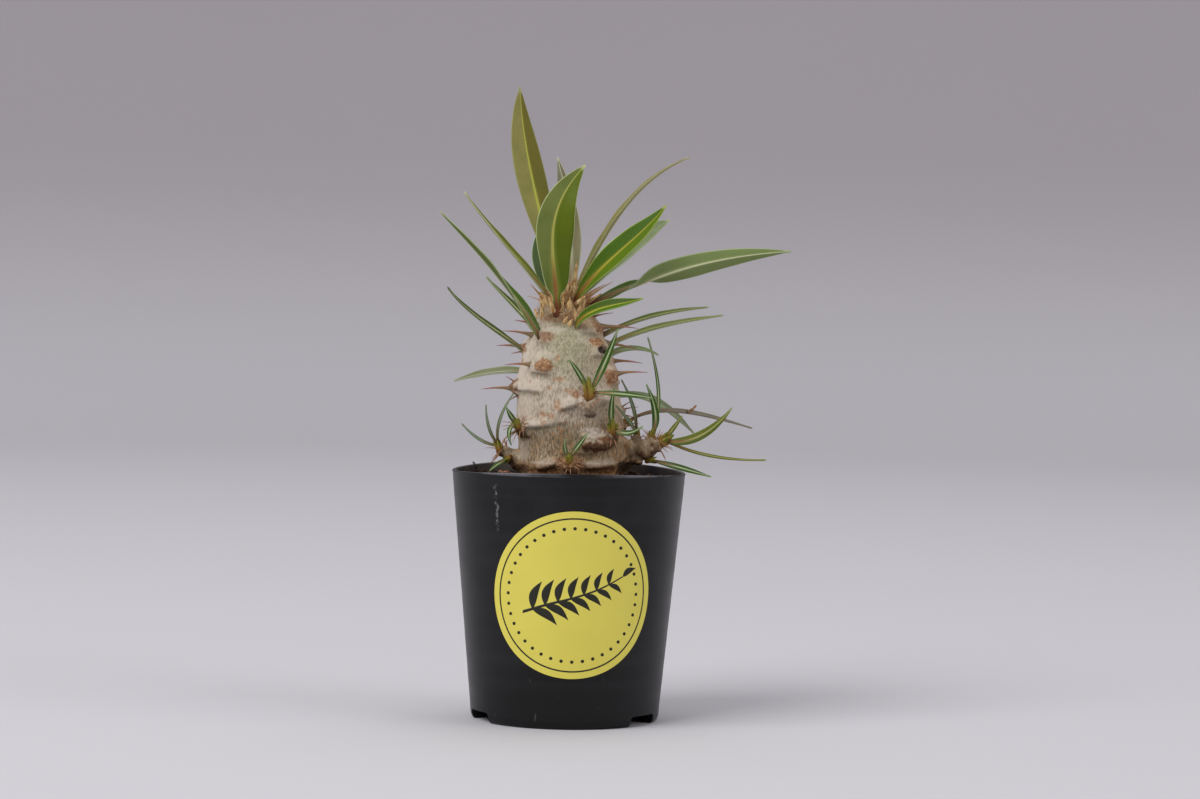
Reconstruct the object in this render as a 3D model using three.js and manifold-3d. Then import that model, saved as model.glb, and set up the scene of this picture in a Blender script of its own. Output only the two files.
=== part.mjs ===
// A young Pachypodium cactipes in its black nursery pot, in millimetres, +Z up.
// The origin is the middle of the pot's foot. The front faces -Y and +X is to the right of it.
// An azimuth is in degrees round the upright axis: 0 at the front, 90 at the right, 180 at the back.
import * as THREE from "three";
import { mergeVertices } from "three/addons/utils/BufferGeometryUtils.js";
import Module from "manifold-3d";

const wasm = await Module();
wasm.setup();

// Clearance between pieces that touch.
const GAP = 0.3;
// How far a cut runs past the face that it opens.
const THROUGH = 1;
// Points closer together than this are one point.
const WELD = 1e-4;
// How much of a radius a three-sided spine needs to grow by a clearance on its flat sides.
const TRIANGLE_GROWTH = 2;

const POT = {
  rimRadius: 42.5,
  height: 91,
  wallFootRadius: 34.4,
  footRadius: 32.8,
  cornerHeight: 3,
  cornerSteps: 3,
  innerCorner: 2,
  wall: 1.4,
  // The thin rim is pulled a little out of round: high at front and back, low at the sides.
  saddle: 0.8,
  plateBottom: 4,
  plateTop: 5.6,
  footRingInside: 30.4,
  footRingSlope: 0.4,
  sides: 54,
  padRadius: 7,
  padSides: 24,
};
const NOTCH = { azimuths: [-65, 57, 176], width: 15, height: 3.8, corner: 1.6, depth: 10, inset: 3 };
const DRAIN = { count: 6, radius: 3.5, ringRadius: 19, sides: 14 };
const LABEL = { radius: 30, azimuth: 4.0, height: 48.6, thickness: 0.3, columns: 22 };
const SOIL = { level: 86.8, lump: 0.7, sides: 36, rings: 4, rimDrop: 1.5 };
// The soil's lumps are two waves: one along x and y, and a longer slanting one.
const SOIL_WAVES = { x: 11.4, y: 13.1, shift: 1, slant: 0.6, slantX: 30, slantY: 19 };

// The trunk's outline from the buried root to the crown: [centre x, radius, height].
const TRUNK_OUTLINE = [
  [1.0, 8.0, 65],
  [1.0, 13.5, 72],
  [1.0, 17.2, 82],
  [1.0, 18.5, 90.5],
  [0.7, 19.0, 99],
  [0.1, 19.4, 108],
  [-0.8, 18.7, 118.3],
  [-1.4, 17.4, 127],
  [-1.7, 14.7, 136.8],
  [-2.4, 10.6, 144.8],
  [-2.7, 8.2, 150],
  [-2.9, 5.6, 154],
  [-3.0, 2.0, 155.6],
];
const TRUNK = { sides: 34, rows: 38, footDrop: 1, topRise: 0.4 };

// Swellings of the bark, each under a spine pair or a shoot:
// [azimuth, height, rise, half-width round the trunk, half-height].
const SWELLINGS = [
  [-34, 129, 1.5, 4.0, 3.0],
  [-81, 120, 1.9, 4.0, 3.4],
  [58, 136, 1.6, 4.2, 3.2],
  [70, 127, 2.2, 4.6, 3.6],
  [-36, 141, 1.4, 3.6, 2.8],
  [-86, 135, 1.6, 3.6, 3.0],
  [72, 142.4, 2.2, 3.8, 3.0],
  [100, 144, 1.8, 3.4, 2.8],
  [-62, 149, 1.0, 3.0, 2.4],
  [-10, 147.5, 0.9, 3.6, 2.2],
  [23, 115, 1.8, 9.0, 3.6],
  [-62, 105.5, 1.6, 8.0, 3.4],
  [24, 100.5, 1.5, 5.0, 3.0],
  [52, 102, 1.8, 6.0, 3.4],
  [0, 93, 1.2, 16.0, 2.6],
  [-84, 93, 1.6, 8.0, 4.0],
  [90, 95, 2.2, 9.0, 5.0],
  [114, 112, 1.8, 4.5, 3.4],
];
// Under its middle a swelling is this much shorter than above.
const UNDERSIDE = 0.6;
// Behind, where the bark turns from view, swellings with spine pairs climb by the golden angle.
const BACK_SPIRAL = {
  from: 92, to: 147, step: 2.3, turn: 137.5, keepFrom: 134, rise: 1.5, halfWidth: 4.2, halfHeight: 3,
};

// Spines: [azimuth and height of the root, azimuth it points to, climb in degrees, length].
const SPINES = [
  [-50, 128.9, -73, 0, 9.4],
  [-81, 119.8, -81, -1, 11.4],
  [-78, 122.2, -60, 30, 4.5],
  [-76, 117.4, -50, -25, 4.0],
  [-65, 139.4, -73, 8, 11.5],
  [-60, 142.8, -70, 14, 9.0],
  [-85, 135.0, -86, 3, 8.8],
  [-88, 133.2, -92, -10, 4.0],
  [84, 136.6, 96, -9, 12.0],
  [100, 130.2, 94, -2, 11.2],
  [69, 126.0, 77, 5, 11.4],
  [86, 142.6, 90, 0, 13.0],
  [96, 146.4, 92, 14, 7.0],
  [112, 112.4, 96, 12, 6.0],
  [114, 110.6, 110, -10, 5.5],
  [110, 113.4, 80, 35, 4.5],
  [70, 151.6, 78, 36, 13.4],
  [60, 152.4, 76, 34, 11.0],
  [-72, 151.4, -52, 46, 9.5],
  [-110, 151.0, -104, 22, 7.0],
  [150, 151.0, 150, 42, 11.0],
  [-150, 149.0, -150, 30, 10.5],
];
const SPINE = { radius: 0.85, tipRadius: 0.12, root: 2, sides: 3 };
const BACK_SPINE = { length: 10, spread: 18, climb: 6, apart: 4 };

// Tan cones of young growth in the crown: [base, tip, radius].
const CROWN_CONES = [
  [[-9.6, -2.5, 147], [-9.9, -4.4, 154], 2.1],
  [[-4.2, -5.5, 149], [-2.6, -6.0, 158], 2.3],
  [[-0.4, -1.5, 153], [1.4, -1.0, 166.5], 1.5],
  [[2.4, -5.0, 147], [4.6, -6.4, 153.5], 2.0],
  [[4.0, 2.5, 148], [6.2, 3.6, 155], 2.1],
  [[-4.0, 5.0, 150], [-4.4, 7.4, 157], 2.1],
];
const CONE = { tipRadius: 0.3, sides: 6 };

// Woody side shoots of the trunk, each a chain of [x, y, z, radius].
const SHOOTS = [
  [[6.3, -14.5, 112.6, 4.2], [7.2, -18.8, 115.4, 3.1], [7.1, -21, 118, 2.3]],
  [[13.0, -9.0, 100.6, 4.0], [15.2, -13.4, 103.4, 2.9], [15.6, -15.5, 105.5, 2.2]],
  [
    [14, 0, 93, 7.5], [20.2, -1, 96.8, 6.0], [24.4, -1.4, 98.2, 4.5],
    [27.6, -1.8, 98.8, 4.8], [30.4, -2.4, 100.2, 3.4], [33, -3, 101.4, 2.1],
  ],
  [[28.2, -2.6, 99.6, 2.6], [29.6, -3, 103.2, 1.6]],
  [[23, 1.8, 98.5, 3.0], [24.4, 2.8, 103, 1.5]],
  [[-15.5, -2, 92.5, 4.6], [-19.5, -2.6, 94.6, 3.5], [-23, -3.2, 96.5, 2.5], [-25.2, -3.8, 98, 1.8]],
  [[-14, -7.4, 103.6, 3.8], [-17, -11, 105.5, 2.5], [-18.6, -13, 107, 1.8]],
  [[0.5, -16.5, 91.4, 4.2], [0.3, -20.4, 93.2, 3.2], [0.1, -22, 95, 2.3]],
  [[12.5, 9, 105, 4.4], [17.4, 12.2, 106.2, 2.8], [19.6, 13.6, 107.2, 2.0]],
];
const SHOOT = { sides: 8, headRise: 0.4, sideways: [0.3, 1, 0.2] };
// Each shoot but the two slight ones is ringed by short spines just under its head.
const SHOOT_SPINE = {
  count: 4, length: 4.6, radius: 0.55, tipRadius: 0.1, climb: 35, firstTurn: 23, sink: 1.4,
  rootShare: 0.4, sideways: [0.1, 0.9, 0.4],
};

// Leaves: four points on the midrib from inside the bark to the tip, the widest width,
// and the way the upper face looks at the base and at the tip. turn is the share of the
// length over which it changes from the one to the other. skew moves the widest place: the
// higher it is, the nearer that lies to the tip.
const LEAVES = {
  leaf_tall: {
    midrib: [[-4.4, 3.2, 151.2], [-10.7, 7.9, 177.2], [-17.0, 10.4, 202.9], [-20.6, 9.0, 229.3]],
    width: 10.6, base: [0, -1, 0.1], tip: [0.1, -1, 0.1], skew: 1.35,
  },
  leaf_rear: {
    midrib: [[-2.3, 4.2, 151.2], [-0.7, 11.8, 168.9], [-2.3, 17.4, 186.7], [-6.5, 20.0, 204.2]],
    width: 8.4, base: [-0.2, -1, 0.2], tip: [-0.4, -1, 0.2],
  },
  leaf_broad: {
    midrib: [[-5.9, -6.0, 147.7], [-7.1, -11.8, 167.0], [-6.2, -13.7, 183.8], [3.6, -9.0, 201.0]],
    width: 14.2, base: [0.15, -1, 0.1], tip: [0.1, -1, 0.3],
  },
  leaf_blue_left: {
    midrib: [[-7.9, 3.4, 146.6], [-9.0, 10.2, 157.7], [-11.6, 18.1, 168.0], [-11.9, 26.0, 178.5]],
    width: 8, base: [0.3, -1, 0.3], tip: [-0.2, -1, 0.5],
  },
  leaf_green_right: {
    midrib: [[0.4, -5.4, 150.7], [10.0, -12.3, 163.7], [21.6, -15.9, 174.8], [32.9, -15.0, 186.8]],
    width: 10, base: [-0.5, -0.8, 0.4], tip: [-0.5, -0.9, 0.5],
  },
  leaf_grey_right: {
    midrib: [[1.0, 2.8, 151.3], [11.1, 8.4, 162.7], [22.3, 12.7, 173.2], [34.9, 15.0, 182.0]],
    width: 11.6, base: [-0.6, -0.7, 0.5], tip: [-0.3, -0.9, 0.5],
  },
  leaf_arching: {
    midrib: [[-0.1, 1.2, 152.4], [9.8, 4.7, 173.0], [23.2, 5.8, 192.0], [41.4, 5.0, 205.0]],
    width: 6.2, base: [-0.8, -0.2, 0.5], tip: [-0.5, -0.1, 0.9],
  },
  leaf_long_right: {
    midrib: [[4.0, -1.5, 149.3], [27.9, -4.8, 160.4], [52.2, -5.7, 167.8], [78.4, -4.0, 171.6]],
    width: 8.6, base: [-0.3, -0.75, 0.6], tip: [0.1, 0.95, 0.2], turn: 0.62,
  },
  leaf_small_front: {
    midrib: [[0.6, -9.0, 141.0], [6.7, -14.8, 148.1], [15.8, -19.7, 151.3], [25.0, -23.0, 153.7]],
    width: 5.6, base: [-0.4, -0.7, 0.6], tip: [-0.2, -0.7, 0.7],
  },
  leaf_right_upper: {
    midrib: [[9.4, 1.4, 139.0], [22.8, 4.9, 144.8], [35.8, 8.0, 148.4], [49.3, 11.0, 150.5]],
    width: 3.2, base: [-0.3, -0.5, 0.8], tip: [-0.1, -0.5, 0.9],
  },
  leaf_right_middle: {
    midrib: [[10.8, -1.0, 135.2], [24.8, -1.6, 141.1], [39.5, -0.1, 145.0], [54.6, 2.0, 147.8]],
    width: 3.6, base: [-0.3, -0.45, 0.8], tip: [-0.1, -0.45, 0.9],
  },
  leaf_right_lower: {
    midrib: [[11.6, 5.6, 131.0], [17.9, 8.9, 134.0], [24.8, 11.3, 134.7], [31.6, 13.0, 132.8]],
    width: 4, base: [0, -0.4, 0.9], tip: [0, -0.4, 0.9],
  },
  leaf_left_upright: {
    midrib: [[-6.9, -1.6, 151.2], [-17.8, -2.7, 164.5], [-29.1, -1.9, 177.3], [-39.7, 0.0, 190.6]],
    width: 4.4, base: [0.6, -0.5, 0.6], tip: [0.6, -0.15, 0.7], skew: 0.72,
  },
  leaf_left_long: {
    midrib: [[-10.0, -9.2, 135.8], [-20.6, -13.7, 153.1], [-33.6, -15.9, 168.6], [-47.5, -17.0, 183.2]],
    width: 6.4, base: [0.75, -0.8, 0.3], tip: [0.6, 0.35, 0.7], turn: 0.75, skew: 0.66,
  },
  leaf_left_short: {
    midrib: [[-12.2, 3.0, 138.3], [-18.0, 6.9, 146.1], [-24.8, 9.8, 152.9], [-31.6, 12.0, 159.9]],
    width: 3.4, base: [0.5, -0.55, 0.7], tip: [0.5, -0.5, 0.7],
  },
  leaf_left_low: {
    midrib: [[-14.5, -2.4, 131.9], [-25.3, -4.3, 139.4], [-36.3, -5.5, 147.3], [-44.9, -6.0, 156.0]],
    width: 3.2, base: [0.5, -0.5, 0.8], tip: [0.5, -0.4, 0.8],
  },
  leaf_left_behind: {
    midrib: [[-13.2, 11.4, 125.6], [-23.4, 21.9, 125.2], [-33.7, 31.8, 123.5], [-43.8, 41.0, 120.7]],
    width: 5.4, base: [0.1, -0.6, 0.8], tip: [0.0, -0.7, 0.7],
  },
  leaf_right_behind: {
    midrib: [[12.3, 11.2, 116.5], [25.2, 21.7, 116.8], [35.8, 28.6, 112.0], [45.8, 34.0, 103.2]],
    width: 4.8, base: [0, -0.6, 0.8], tip: [0.3, -0.7, 0.6],
  },
  leaf_back_high: {
    midrib: [[-3.4, 6.8, 149.0], [-6.2, 20, 164], [-7.6, 34, 176], [-6.4, 46, 185]],
    width: 10, base: [0, -0.8, 0.7], tip: [0, -0.6, 0.9],
  },
  leaf_back_right: {
    midrib: [[1.4, 9.2, 143.6], [3.4, 26, 150], [4.6, 43, 149], [4.6, 60, 142]],
    width: 9, base: [0.1, -0.3, 1], tip: [0, 0.3, 1],
  },
  leaf_back_left: {
    midrib: [[-7.4, 10.2, 140.4], [-9.4, 26, 144.6], [-11.4, 41, 142], [-12.6, 55, 134]],
    width: 8, base: [-0.1, -0.3, 1], tip: [-0.1, 0.3, 1],
  },
  leaf_back_low: {
    midrib: [[3.0, 14.6, 130], [5.4, 30, 136], [7.4, 44, 135], [8.6, 57, 128]],
    width: 8, base: [0, -0.3, 1], tip: [0, 0.4, 1],
  },
};
// The fold is how far a leaf's margins rise, as a share of its half width. The skew is that of
// a leaf which gives none, and a lower fullness makes the outline blunter.
const LEAF = {
  stations: 10, petiole: 2.4, edge: 0.6, rib: 1.3, fold: 0.32, tipWidth: 0.9, tipLength: 0.8,
  skew: 0.86, fullness: 0.8,
};

// Tufts of narrow leaves on the side shoots. Every blade starts in the bud at the head, runs
// through the listed points and ends at the last one.
const TUFTS = {
  tuft_front_right: {
    head: [7.1, -21.2, 118.4], bud: [6.4, -23.2, 125.8], radius: 1.7,
    blades: [
      { path: [[12.4, -22, 131], [16.6, -22, 142.4]], width: 2.8 },
      { path: [[3.2, -23.6, 126.4], [-0.5, -26, 131.5]], width: 2.0 },
      { path: [[19.2, -24.4, 119.6], [29.3, -25, 118.4]], width: 2.0 },
    ],
  },
  tuft_right: {
    head: [15.6, -15.8, 105.8], bud: [15.6, -17.4, 110.5], radius: 1.6,
    blades: [
      { path: [[14.9, -17.4, 113], [15.8, -18, 121.5]], width: 2.2 },
      { path: [[20.6, -19, 105.4], [26.0, -20, 107.8]], width: 2.0 },
    ],
  },
  tuft_far_right: {
    head: [33.2, -3.1, 101.6], bud: [38, -4, 104.4], radius: 1.8,
    blades: [
      { path: [[46.9, -8, 104.2], [58.3, -10, 114.5]], width: 3.4 },
      { path: [[37.4, -3.6, 106.4], [40.6, -4, 111.0]], width: 1.8 },
      { path: [[51, 0, 96.8], [71.4, 2, 95.4]], width: 1.2 },
    ],
  },
  tuft_far_right_upper: {
    head: [29.7, -3, 103.6], bud: [30.4, -3.2, 107], radius: 1.2,
    blades: [
      { path: [[31.0, -4, 112], [27.6, -6, 122.3]], width: 2.7 },
      { path: [[32.2, 11, 119], [28.1, 20, 138.6]], width: 1.4 },
    ],
  },
  tuft_right_inner: {
    head: [24.5, 2.9, 103.4], bud: [23.8, 3.4, 106.4], radius: 1.1,
    blades: [
      { path: [[21.6, -5.0, 108.8], [16.6, -11.6, 114.9]], width: 1.4 },
      { path: [[23.0, 1.4, 113.6], [18.6, -1.0, 123.6]], width: 1.4 },
    ],
  },
  tuft_far_right_low: {
    head: [29.2, -3.6, 94.9], bud: [32, -5, 95.0], radius: 1.0,
    blades: [{ path: [[40.6, -8, 92.6], [51.1, -10, 89.8]], width: 2.2 }],
  },
  tuft_left: {
    head: [-25.4, -3.9, 98.3], bud: [-26.4, -4.4, 101.6], radius: 1.3,
    blades: [
      { path: [[-32.6, -5, 101.4], [-39.0, -6, 106.9]], width: 1.2 },
      { path: [[-29.2, -6, 105.6], [-30.4, -8, 114]], width: 1.2 },
      { path: [[-25.4, -5, 108.6], [-20.7, -6, 118.1]], width: 1.2 },
    ],
  },
  tuft_left_low: {
    head: [-22.0, -6.4, 94.8], bud: [-24.0, -9.6, 93.9], radius: 0.9,
    blades: [{ path: [[-25.8, -12.6, 92.8], [-28.2, -16.4, 90.9]], width: 1.8 }],
  },
  tuft_left_upper: {
    head: [-18.7, -13.2, 107.3], bud: [-19.8, -14.2, 110], radius: 1.3,
    blades: [
      { path: [[-21.0, -15, 110.4], [-22.9, -16, 113.8]], width: 2.0 },
      { path: [[-21.6, -16.4, 105.2], [-20.9, -16.4, 100.5]], width: 1.6 },
    ],
  },
  tuft_front: {
    head: [0.1, -22.2, 95.3], bud: [0.1, -23, 98.4], radius: 1.5,
    blades: [
      { path: [[-1.3, -23.6, 99.4], [-1.5, -24, 102.8]], width: 1.6 },
      { path: [[3.4, -23, 100.8], [6.4, -23, 105]], width: 1.8 },
    ],
  },
  tuft_right_behind: {
    head: [19.9, 13.8, 107.4], bud: [23.4, 16, 108.6], radius: 1.5,
    blades: [{ path: [[34.8, 21.8, 111.9], [51.0, 27.7, 110.0], [67.4, 32.0, 105.5]], width: 1.8 }],
  },
};
const BLADE = {
  stations: 6, thickness: 0.7, root: 1.2, tipWidth: 0.6, tipLength: 0.6, skew: 0.8, fullness: 0.7,
  facing: [0.05, -1, 0.35],
};
// The blades of a tuft leave its bud one above the other.
const TUFT = { root: 1.5, budTip: 0.35, sides: 6, firstBlade: 0.9, bladeStep: 0.35 };

const PLASTIC = { color: 0x2a2a2c, roughness: 0.5, metalness: 0 };
const PAPER = { color: 0xe3d955, roughness: 0.55, metalness: 0 };
const EARTH = { color: 0x4a382c, roughness: 0.95, metalness: 0 };
const BARK = { color: 0xa79d88, roughness: 0.85, metalness: 0 };
const LEAF_GREEN = { color: 0x4d7a2f, roughness: 0.5, metalness: 0 };

const up = new THREE.Vector3(0, 0, 1);
const radians = THREE.MathUtils.degToRad;
const vector = (list) => new THREE.Vector3(list[0], list[1], list[2]);

// The level unit vector that an azimuth points along.
function outward(azimuth) {
  return new THREE.Vector3(Math.sin(radians(azimuth)), -Math.cos(radians(azimuth)), 0);
}

// A closed geometry as a solid with its faces pointing out.
function solid(geometry) {
  const bare = geometry.clone();
  bare.deleteAttribute("normal");
  bare.deleteAttribute("uv");
  const merged = mergeVertices(bare, WELD);
  const faces = [];
  for (let i = 0; i < merged.index.count; i += 3) {
    const [a, b, c] = [merged.index.getX(i), merged.index.getX(i + 1), merged.index.getX(i + 2)];
    if (a !== b && b !== c && c !== a) faces.push([a, b, c]);
  }
  const make = (order) =>
    new wasm.Manifold(
      new wasm.Mesh({
        numProp: 3,
        vertProperties: merged.attributes.position.array,
        triVerts: new Uint32Array(faces.flatMap(order)),
      }),
    );
  const made = make(([a, b, c]) => [a, b, c]);
  return made.volume() < 0 ? make(([a, b, c]) => [a, c, b]) : made;
}

// The largest of a solid's separate bodies.
function largest(made) {
  return made.decompose().reduce((best, one) => (one.volume() > best.volume() ? one : best));
}

// A solid as a named mesh in its material.
function mesh(name, made, finish) {
  const { numProp, numVert, vertProperties, triVerts } = made.getMesh();
  const places = new Float32Array(numVert * 3);
  for (let i = 0; i < numVert; i++) {
    places.set(vertProperties.subarray(i * numProp, i * numProp + 3), i * 3);
  }
  const geometry = new THREE.BufferGeometry();
  geometry.setAttribute("position", new THREE.BufferAttribute(places, 3));
  geometry.setIndex(new THREE.BufferAttribute(triVerts, 1));
  geometry.computeVertexNormals();
  const result = new THREE.Mesh(geometry, new THREE.MeshStandardMaterial(finish));
  result.name = name;
  return result;
}

// A closed skin over rings of points, all of one count, with a point at the middle of each end.
function skin(rings, start, end) {
  const count = rings[0].length;
  const places = [start, ...rings.flat(), end];
  const last = places.length - 1;
  const at = (ring, i) => 1 + ring * count + (i % count);
  const faces = [];
  for (let i = 0; i < count; i++) {
    faces.push(0, at(0, i + 1), at(0, i));
    faces.push(last, at(rings.length - 1, i), at(rings.length - 1, i + 1));
    for (let ring = 0; ring + 1 < rings.length; ring++) {
      faces.push(at(ring, i), at(ring, i + 1), at(ring + 1, i + 1));
      faces.push(at(ring, i), at(ring + 1, i + 1), at(ring + 1, i));
    }
  }
  const geometry = new THREE.BufferGeometry().setFromPoints(places);
  geometry.setIndex(faces);
  return solid(geometry);
}

// A round solid between two points, as a cone or as a rod.
function rod(from, to, radiusFrom, radiusTo, sides) {
  const axis = to.clone().sub(from);
  const geometry = new THREE.CylinderGeometry(radiusTo, radiusFrom, axis.length(), sides);
  geometry.translate(0, axis.length() / 2, 0);
  const turn = new THREE.Quaternion().setFromUnitVectors(
    new THREE.Vector3(0, 1, 0),
    axis.clone().normalize(),
  );
  geometry.applyQuaternion(turn);
  geometry.translate(from.x, from.y, from.z);
  return solid(geometry);
}

// A profile of [radius, height] pairs turned round the upright axis.
function turned(profile, sides) {
  const geometry = new THREE.LatheGeometry(
    profile.map(([radius, height]) => new THREE.Vector2(radius, height)),
    sides,
  );
  geometry.rotateX(Math.PI / 2);
  return geometry;
}

// The pot's outer radius at a height, on its straight flared wall.
function wallRadius(height) {
  const share = (height - POT.cornerHeight) / (POT.height - POT.cornerHeight);
  return POT.wallFootRadius + share * (POT.rimRadius - POT.wallFootRadius);
}

// One rounded slot through the foot of the wall.
function notchCutter(azimuth) {
  const half = NOTCH.width / 2;
  const cornerX = half - NOTCH.corner;
  const cornerY = NOTCH.height - NOTCH.corner;
  const shape = new THREE.Shape();
  shape.moveTo(-half, -THROUGH);
  shape.lineTo(half, -THROUGH);
  shape.lineTo(half, cornerY);
  shape.absarc(cornerX, cornerY, NOTCH.corner, 0, Math.PI / 2);
  shape.absarc(-cornerX, cornerY, NOTCH.corner, Math.PI / 2, Math.PI);
  shape.lineTo(-half, -THROUGH);
  const geometry = new THREE.ExtrudeGeometry(shape, {
    depth: NOTCH.depth,
    bevelEnabled: false,
    curveSegments: 3,
  });
  const out = outward(azimuth);
  const across = up.clone().cross(out);
  const place = new THREE.Matrix4().makeBasis(across, up, out);
  place.setPosition(out.clone().multiplyScalar(POT.footRingInside - NOTCH.inset));
  return solid(geometry.applyMatrix4(place));
}

// The moulded pot: a flared cup on a notched foot ring, with drain holes and a middle pad.
function pot() {
  const inner = (height) => wallRadius(height) - POT.wall;
  const profile = [
    [0, POT.plateBottom],
    [POT.footRingInside - POT.footRingSlope, POT.plateBottom],
    [POT.footRingInside, 0],
  ];
  for (let i = 0; i <= POT.cornerSteps; i++) {
    const angle = ((i / POT.cornerSteps) * Math.PI) / 2;
    profile.push([
      POT.footRadius + (POT.wallFootRadius - POT.footRadius) * Math.sin(angle),
      POT.cornerHeight * (1 - Math.cos(angle)),
    ]);
  }
  const cornerTop = POT.plateTop + POT.innerCorner;
  profile.push(
    [wallRadius(POT.height), POT.height],
    [inner(POT.height), POT.height],
    [inner(cornerTop), cornerTop],
    [inner(cornerTop) - POT.innerCorner, POT.plateTop],
    [0, POT.plateTop],
  );
  const geometry = turned(profile, POT.sides);
  const places = geometry.getAttribute("position");
  for (let i = 0; i < places.count; i++) {
    const [x, y, z] = [places.getX(i), places.getY(i), places.getZ(i)];
    const lift = POT.saddle * Math.cos(2 * Math.atan2(x, -y)) * (z / POT.height) ** 3;
    if (z > POT.height / 2) places.setZ(i, z + lift);
  }
  const plateMiddle = new THREE.Vector3(0, 0, (POT.plateBottom + POT.plateTop) / 2);
  const pad = rod(new THREE.Vector3(), plateMiddle, POT.padRadius, POT.padRadius, POT.padSides);
  let made = solid(geometry).add(pad);
  for (let i = 0; i < DRAIN.count; i++) {
    const place = outward((i * 360) / DRAIN.count).multiplyScalar(DRAIN.ringRadius);
    const above = place.clone().setZ(POT.plateTop + THROUGH);
    made = made.subtract(rod(place, above, DRAIN.radius, DRAIN.radius, DRAIN.sides));
  }
  for (const azimuth of NOTCH.azimuths) made = made.subtract(notchCutter(azimuth));
  return made;
}

// A point on the pot's wall, across and above the label's middle, and so far off the wall.
function wallPoint(across, above, off) {
  const height = LABEL.height + above;
  const azimuth = LABEL.azimuth + (across / wallRadius(height)) * (180 / Math.PI);
  return outward(azimuth)
    .multiplyScalar(wallRadius(height) + off)
    .setZ(height);
}

// The round sticker, bent to the wall in upright strips.
function label() {
  const columns = [];
  for (let i = 0; i <= LABEL.columns; i++) {
    const angle = (Math.PI * i) / LABEL.columns;
    columns.push([-LABEL.radius * Math.cos(angle), LABEL.radius * Math.sin(angle)]);
  }
  const rings = columns.slice(1, -1).map(([across, half]) => [
    wallPoint(across, half, GAP),
    wallPoint(across, half, GAP + LABEL.thickness),
    wallPoint(across, -half, GAP + LABEL.thickness),
    wallPoint(across, -half, GAP),
  ]);
  const end = (across) => wallPoint(across, 0, GAP + LABEL.thickness / 2);
  return skin(rings, end(-LABEL.radius), end(LABEL.radius));
}

// The surface of the soil, in low lumps.
function soilLevel(x, y) {
  const waves = SOIL_WAVES;
  const phase = (place, length) => (2 * Math.PI * place) / length;
  const square = Math.sin(phase(x, waves.x) + waves.shift) * Math.cos(phase(y, waves.y));
  const slanting = Math.sin(phase(x, waves.slantX) - phase(y, waves.slantY));
  return SOIL.level + SOIL.lump * (square + waves.slant * slanting);
}

// The soil fills the pot and has a plain hole for the root.
function soil(rootHole) {
  const bottom = POT.plateTop + GAP;
  const cornerTop = bottom + POT.innerCorner;
  const outside = (height) => wallRadius(height) - POT.wall - GAP;
  const profile = [
    [0, bottom],
    [outside(cornerTop) - POT.innerCorner, bottom],
    [outside(cornerTop), cornerTop],
  ];
  for (let ring = SOIL.rings; ring >= 0; ring--) {
    profile.push([(outside(SOIL.level - SOIL.rimDrop) * ring) / SOIL.rings, SOIL.level]);
  }
  const geometry = turned(profile, SOIL.sides);
  const places = geometry.getAttribute("position");
  for (let i = 0; i < places.count; i++) {
    const onTop = places.getZ(i) > SOIL.level / 2;
    if (onTop) places.setZ(i, soilLevel(places.getX(i), places.getY(i)));
  }
  return largest(solid(geometry).subtract(rootHole));
}

// The swellings with their rises, those behind worked out along the spiral.
function allSwellings() {
  const list = [...SWELLINGS];
  const spiral = BACK_SPIRAL;
  for (let i = 0, height = spiral.from; height < spiral.to; i++, height += spiral.step) {
    const azimuth = ((((i * spiral.turn) % 360) + 540) % 360) - 180;
    if (Math.abs(azimuth) < spiral.keepFrom) continue;
    list.push([azimuth, height, spiral.rise, spiral.halfWidth, spiral.halfHeight]);
  }
  return list;
}

const outline = new THREE.CatmullRomCurve3(TRUNK_OUTLINE.map(vector), false, "catmullrom", 0.5);
const swellings = allSwellings();

// How far the bark stands out from the outline. A swelling slopes gently above and falls
// away quickly underneath.
function swellingAt(azimuth, height, radius) {
  let rise = 0;
  for (const [middle, level, most, halfWidth, halfHeight] of swellings) {
    const turnAway = ((((azimuth - middle) % 360) + 540) % 360) - 180;
    const across = (radians(turnAway) * radius) / halfWidth;
    const above = (height - level) / (height > level ? halfHeight : halfHeight * UNDERSIDE);
    rise += most * Math.exp(-across * across - above * above);
  }
  return rise;
}

// A point on the bark, grown outwards by a clearance.
function barkPoint(azimuth, share, grow) {
  const { x: centre, y: radius, z: height } = outline.getPoint(share);
  const reach = radius + swellingAt(azimuth, height, radius) + grow;
  return outward(azimuth)
    .multiplyScalar(reach)
    .add(new THREE.Vector3(centre, 0, height));
}

// The share of the outline's length at which it reaches a height, by halving.
function shareAt(height) {
  let [low, high] = [0, 1];
  while (high - low > WELD) {
    const middle = (low + high) / 2;
    if (outline.getPoint(middle).z < height) low = middle;
    else high = middle;
  }
  return low;
}

// A three-sided spine out of the bark.
function spine([azimuth, height, heading, climb, length], grow) {
  const direction = outward(heading)
    .multiplyScalar(Math.cos(radians(climb)))
    .setZ(Math.sin(radians(climb)));
  const surface = barkPoint(azimuth, shareAt(height), 0);
  const root = surface.clone().addScaledVector(direction, -SPINE.root);
  const tip = surface.clone().addScaledVector(direction, length + grow);
  return rod(root, tip, SPINE.radius + TRIANGLE_GROWTH * grow, SPINE.tipRadius + grow, SPINE.sides);
}

// The spine pairs of the swellings behind.
function backSpines() {
  const list = [];
  for (const [azimuth, height] of swellings.slice(SWELLINGS.length)) {
    for (const side of [-1, 1]) {
      const root = azimuth + side * BACK_SPINE.apart;
      const heading = azimuth + side * BACK_SPINE.spread;
      list.push([root, height, heading, BACK_SPINE.climb * side, BACK_SPINE.length]);
    }
  }
  return list;
}

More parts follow.
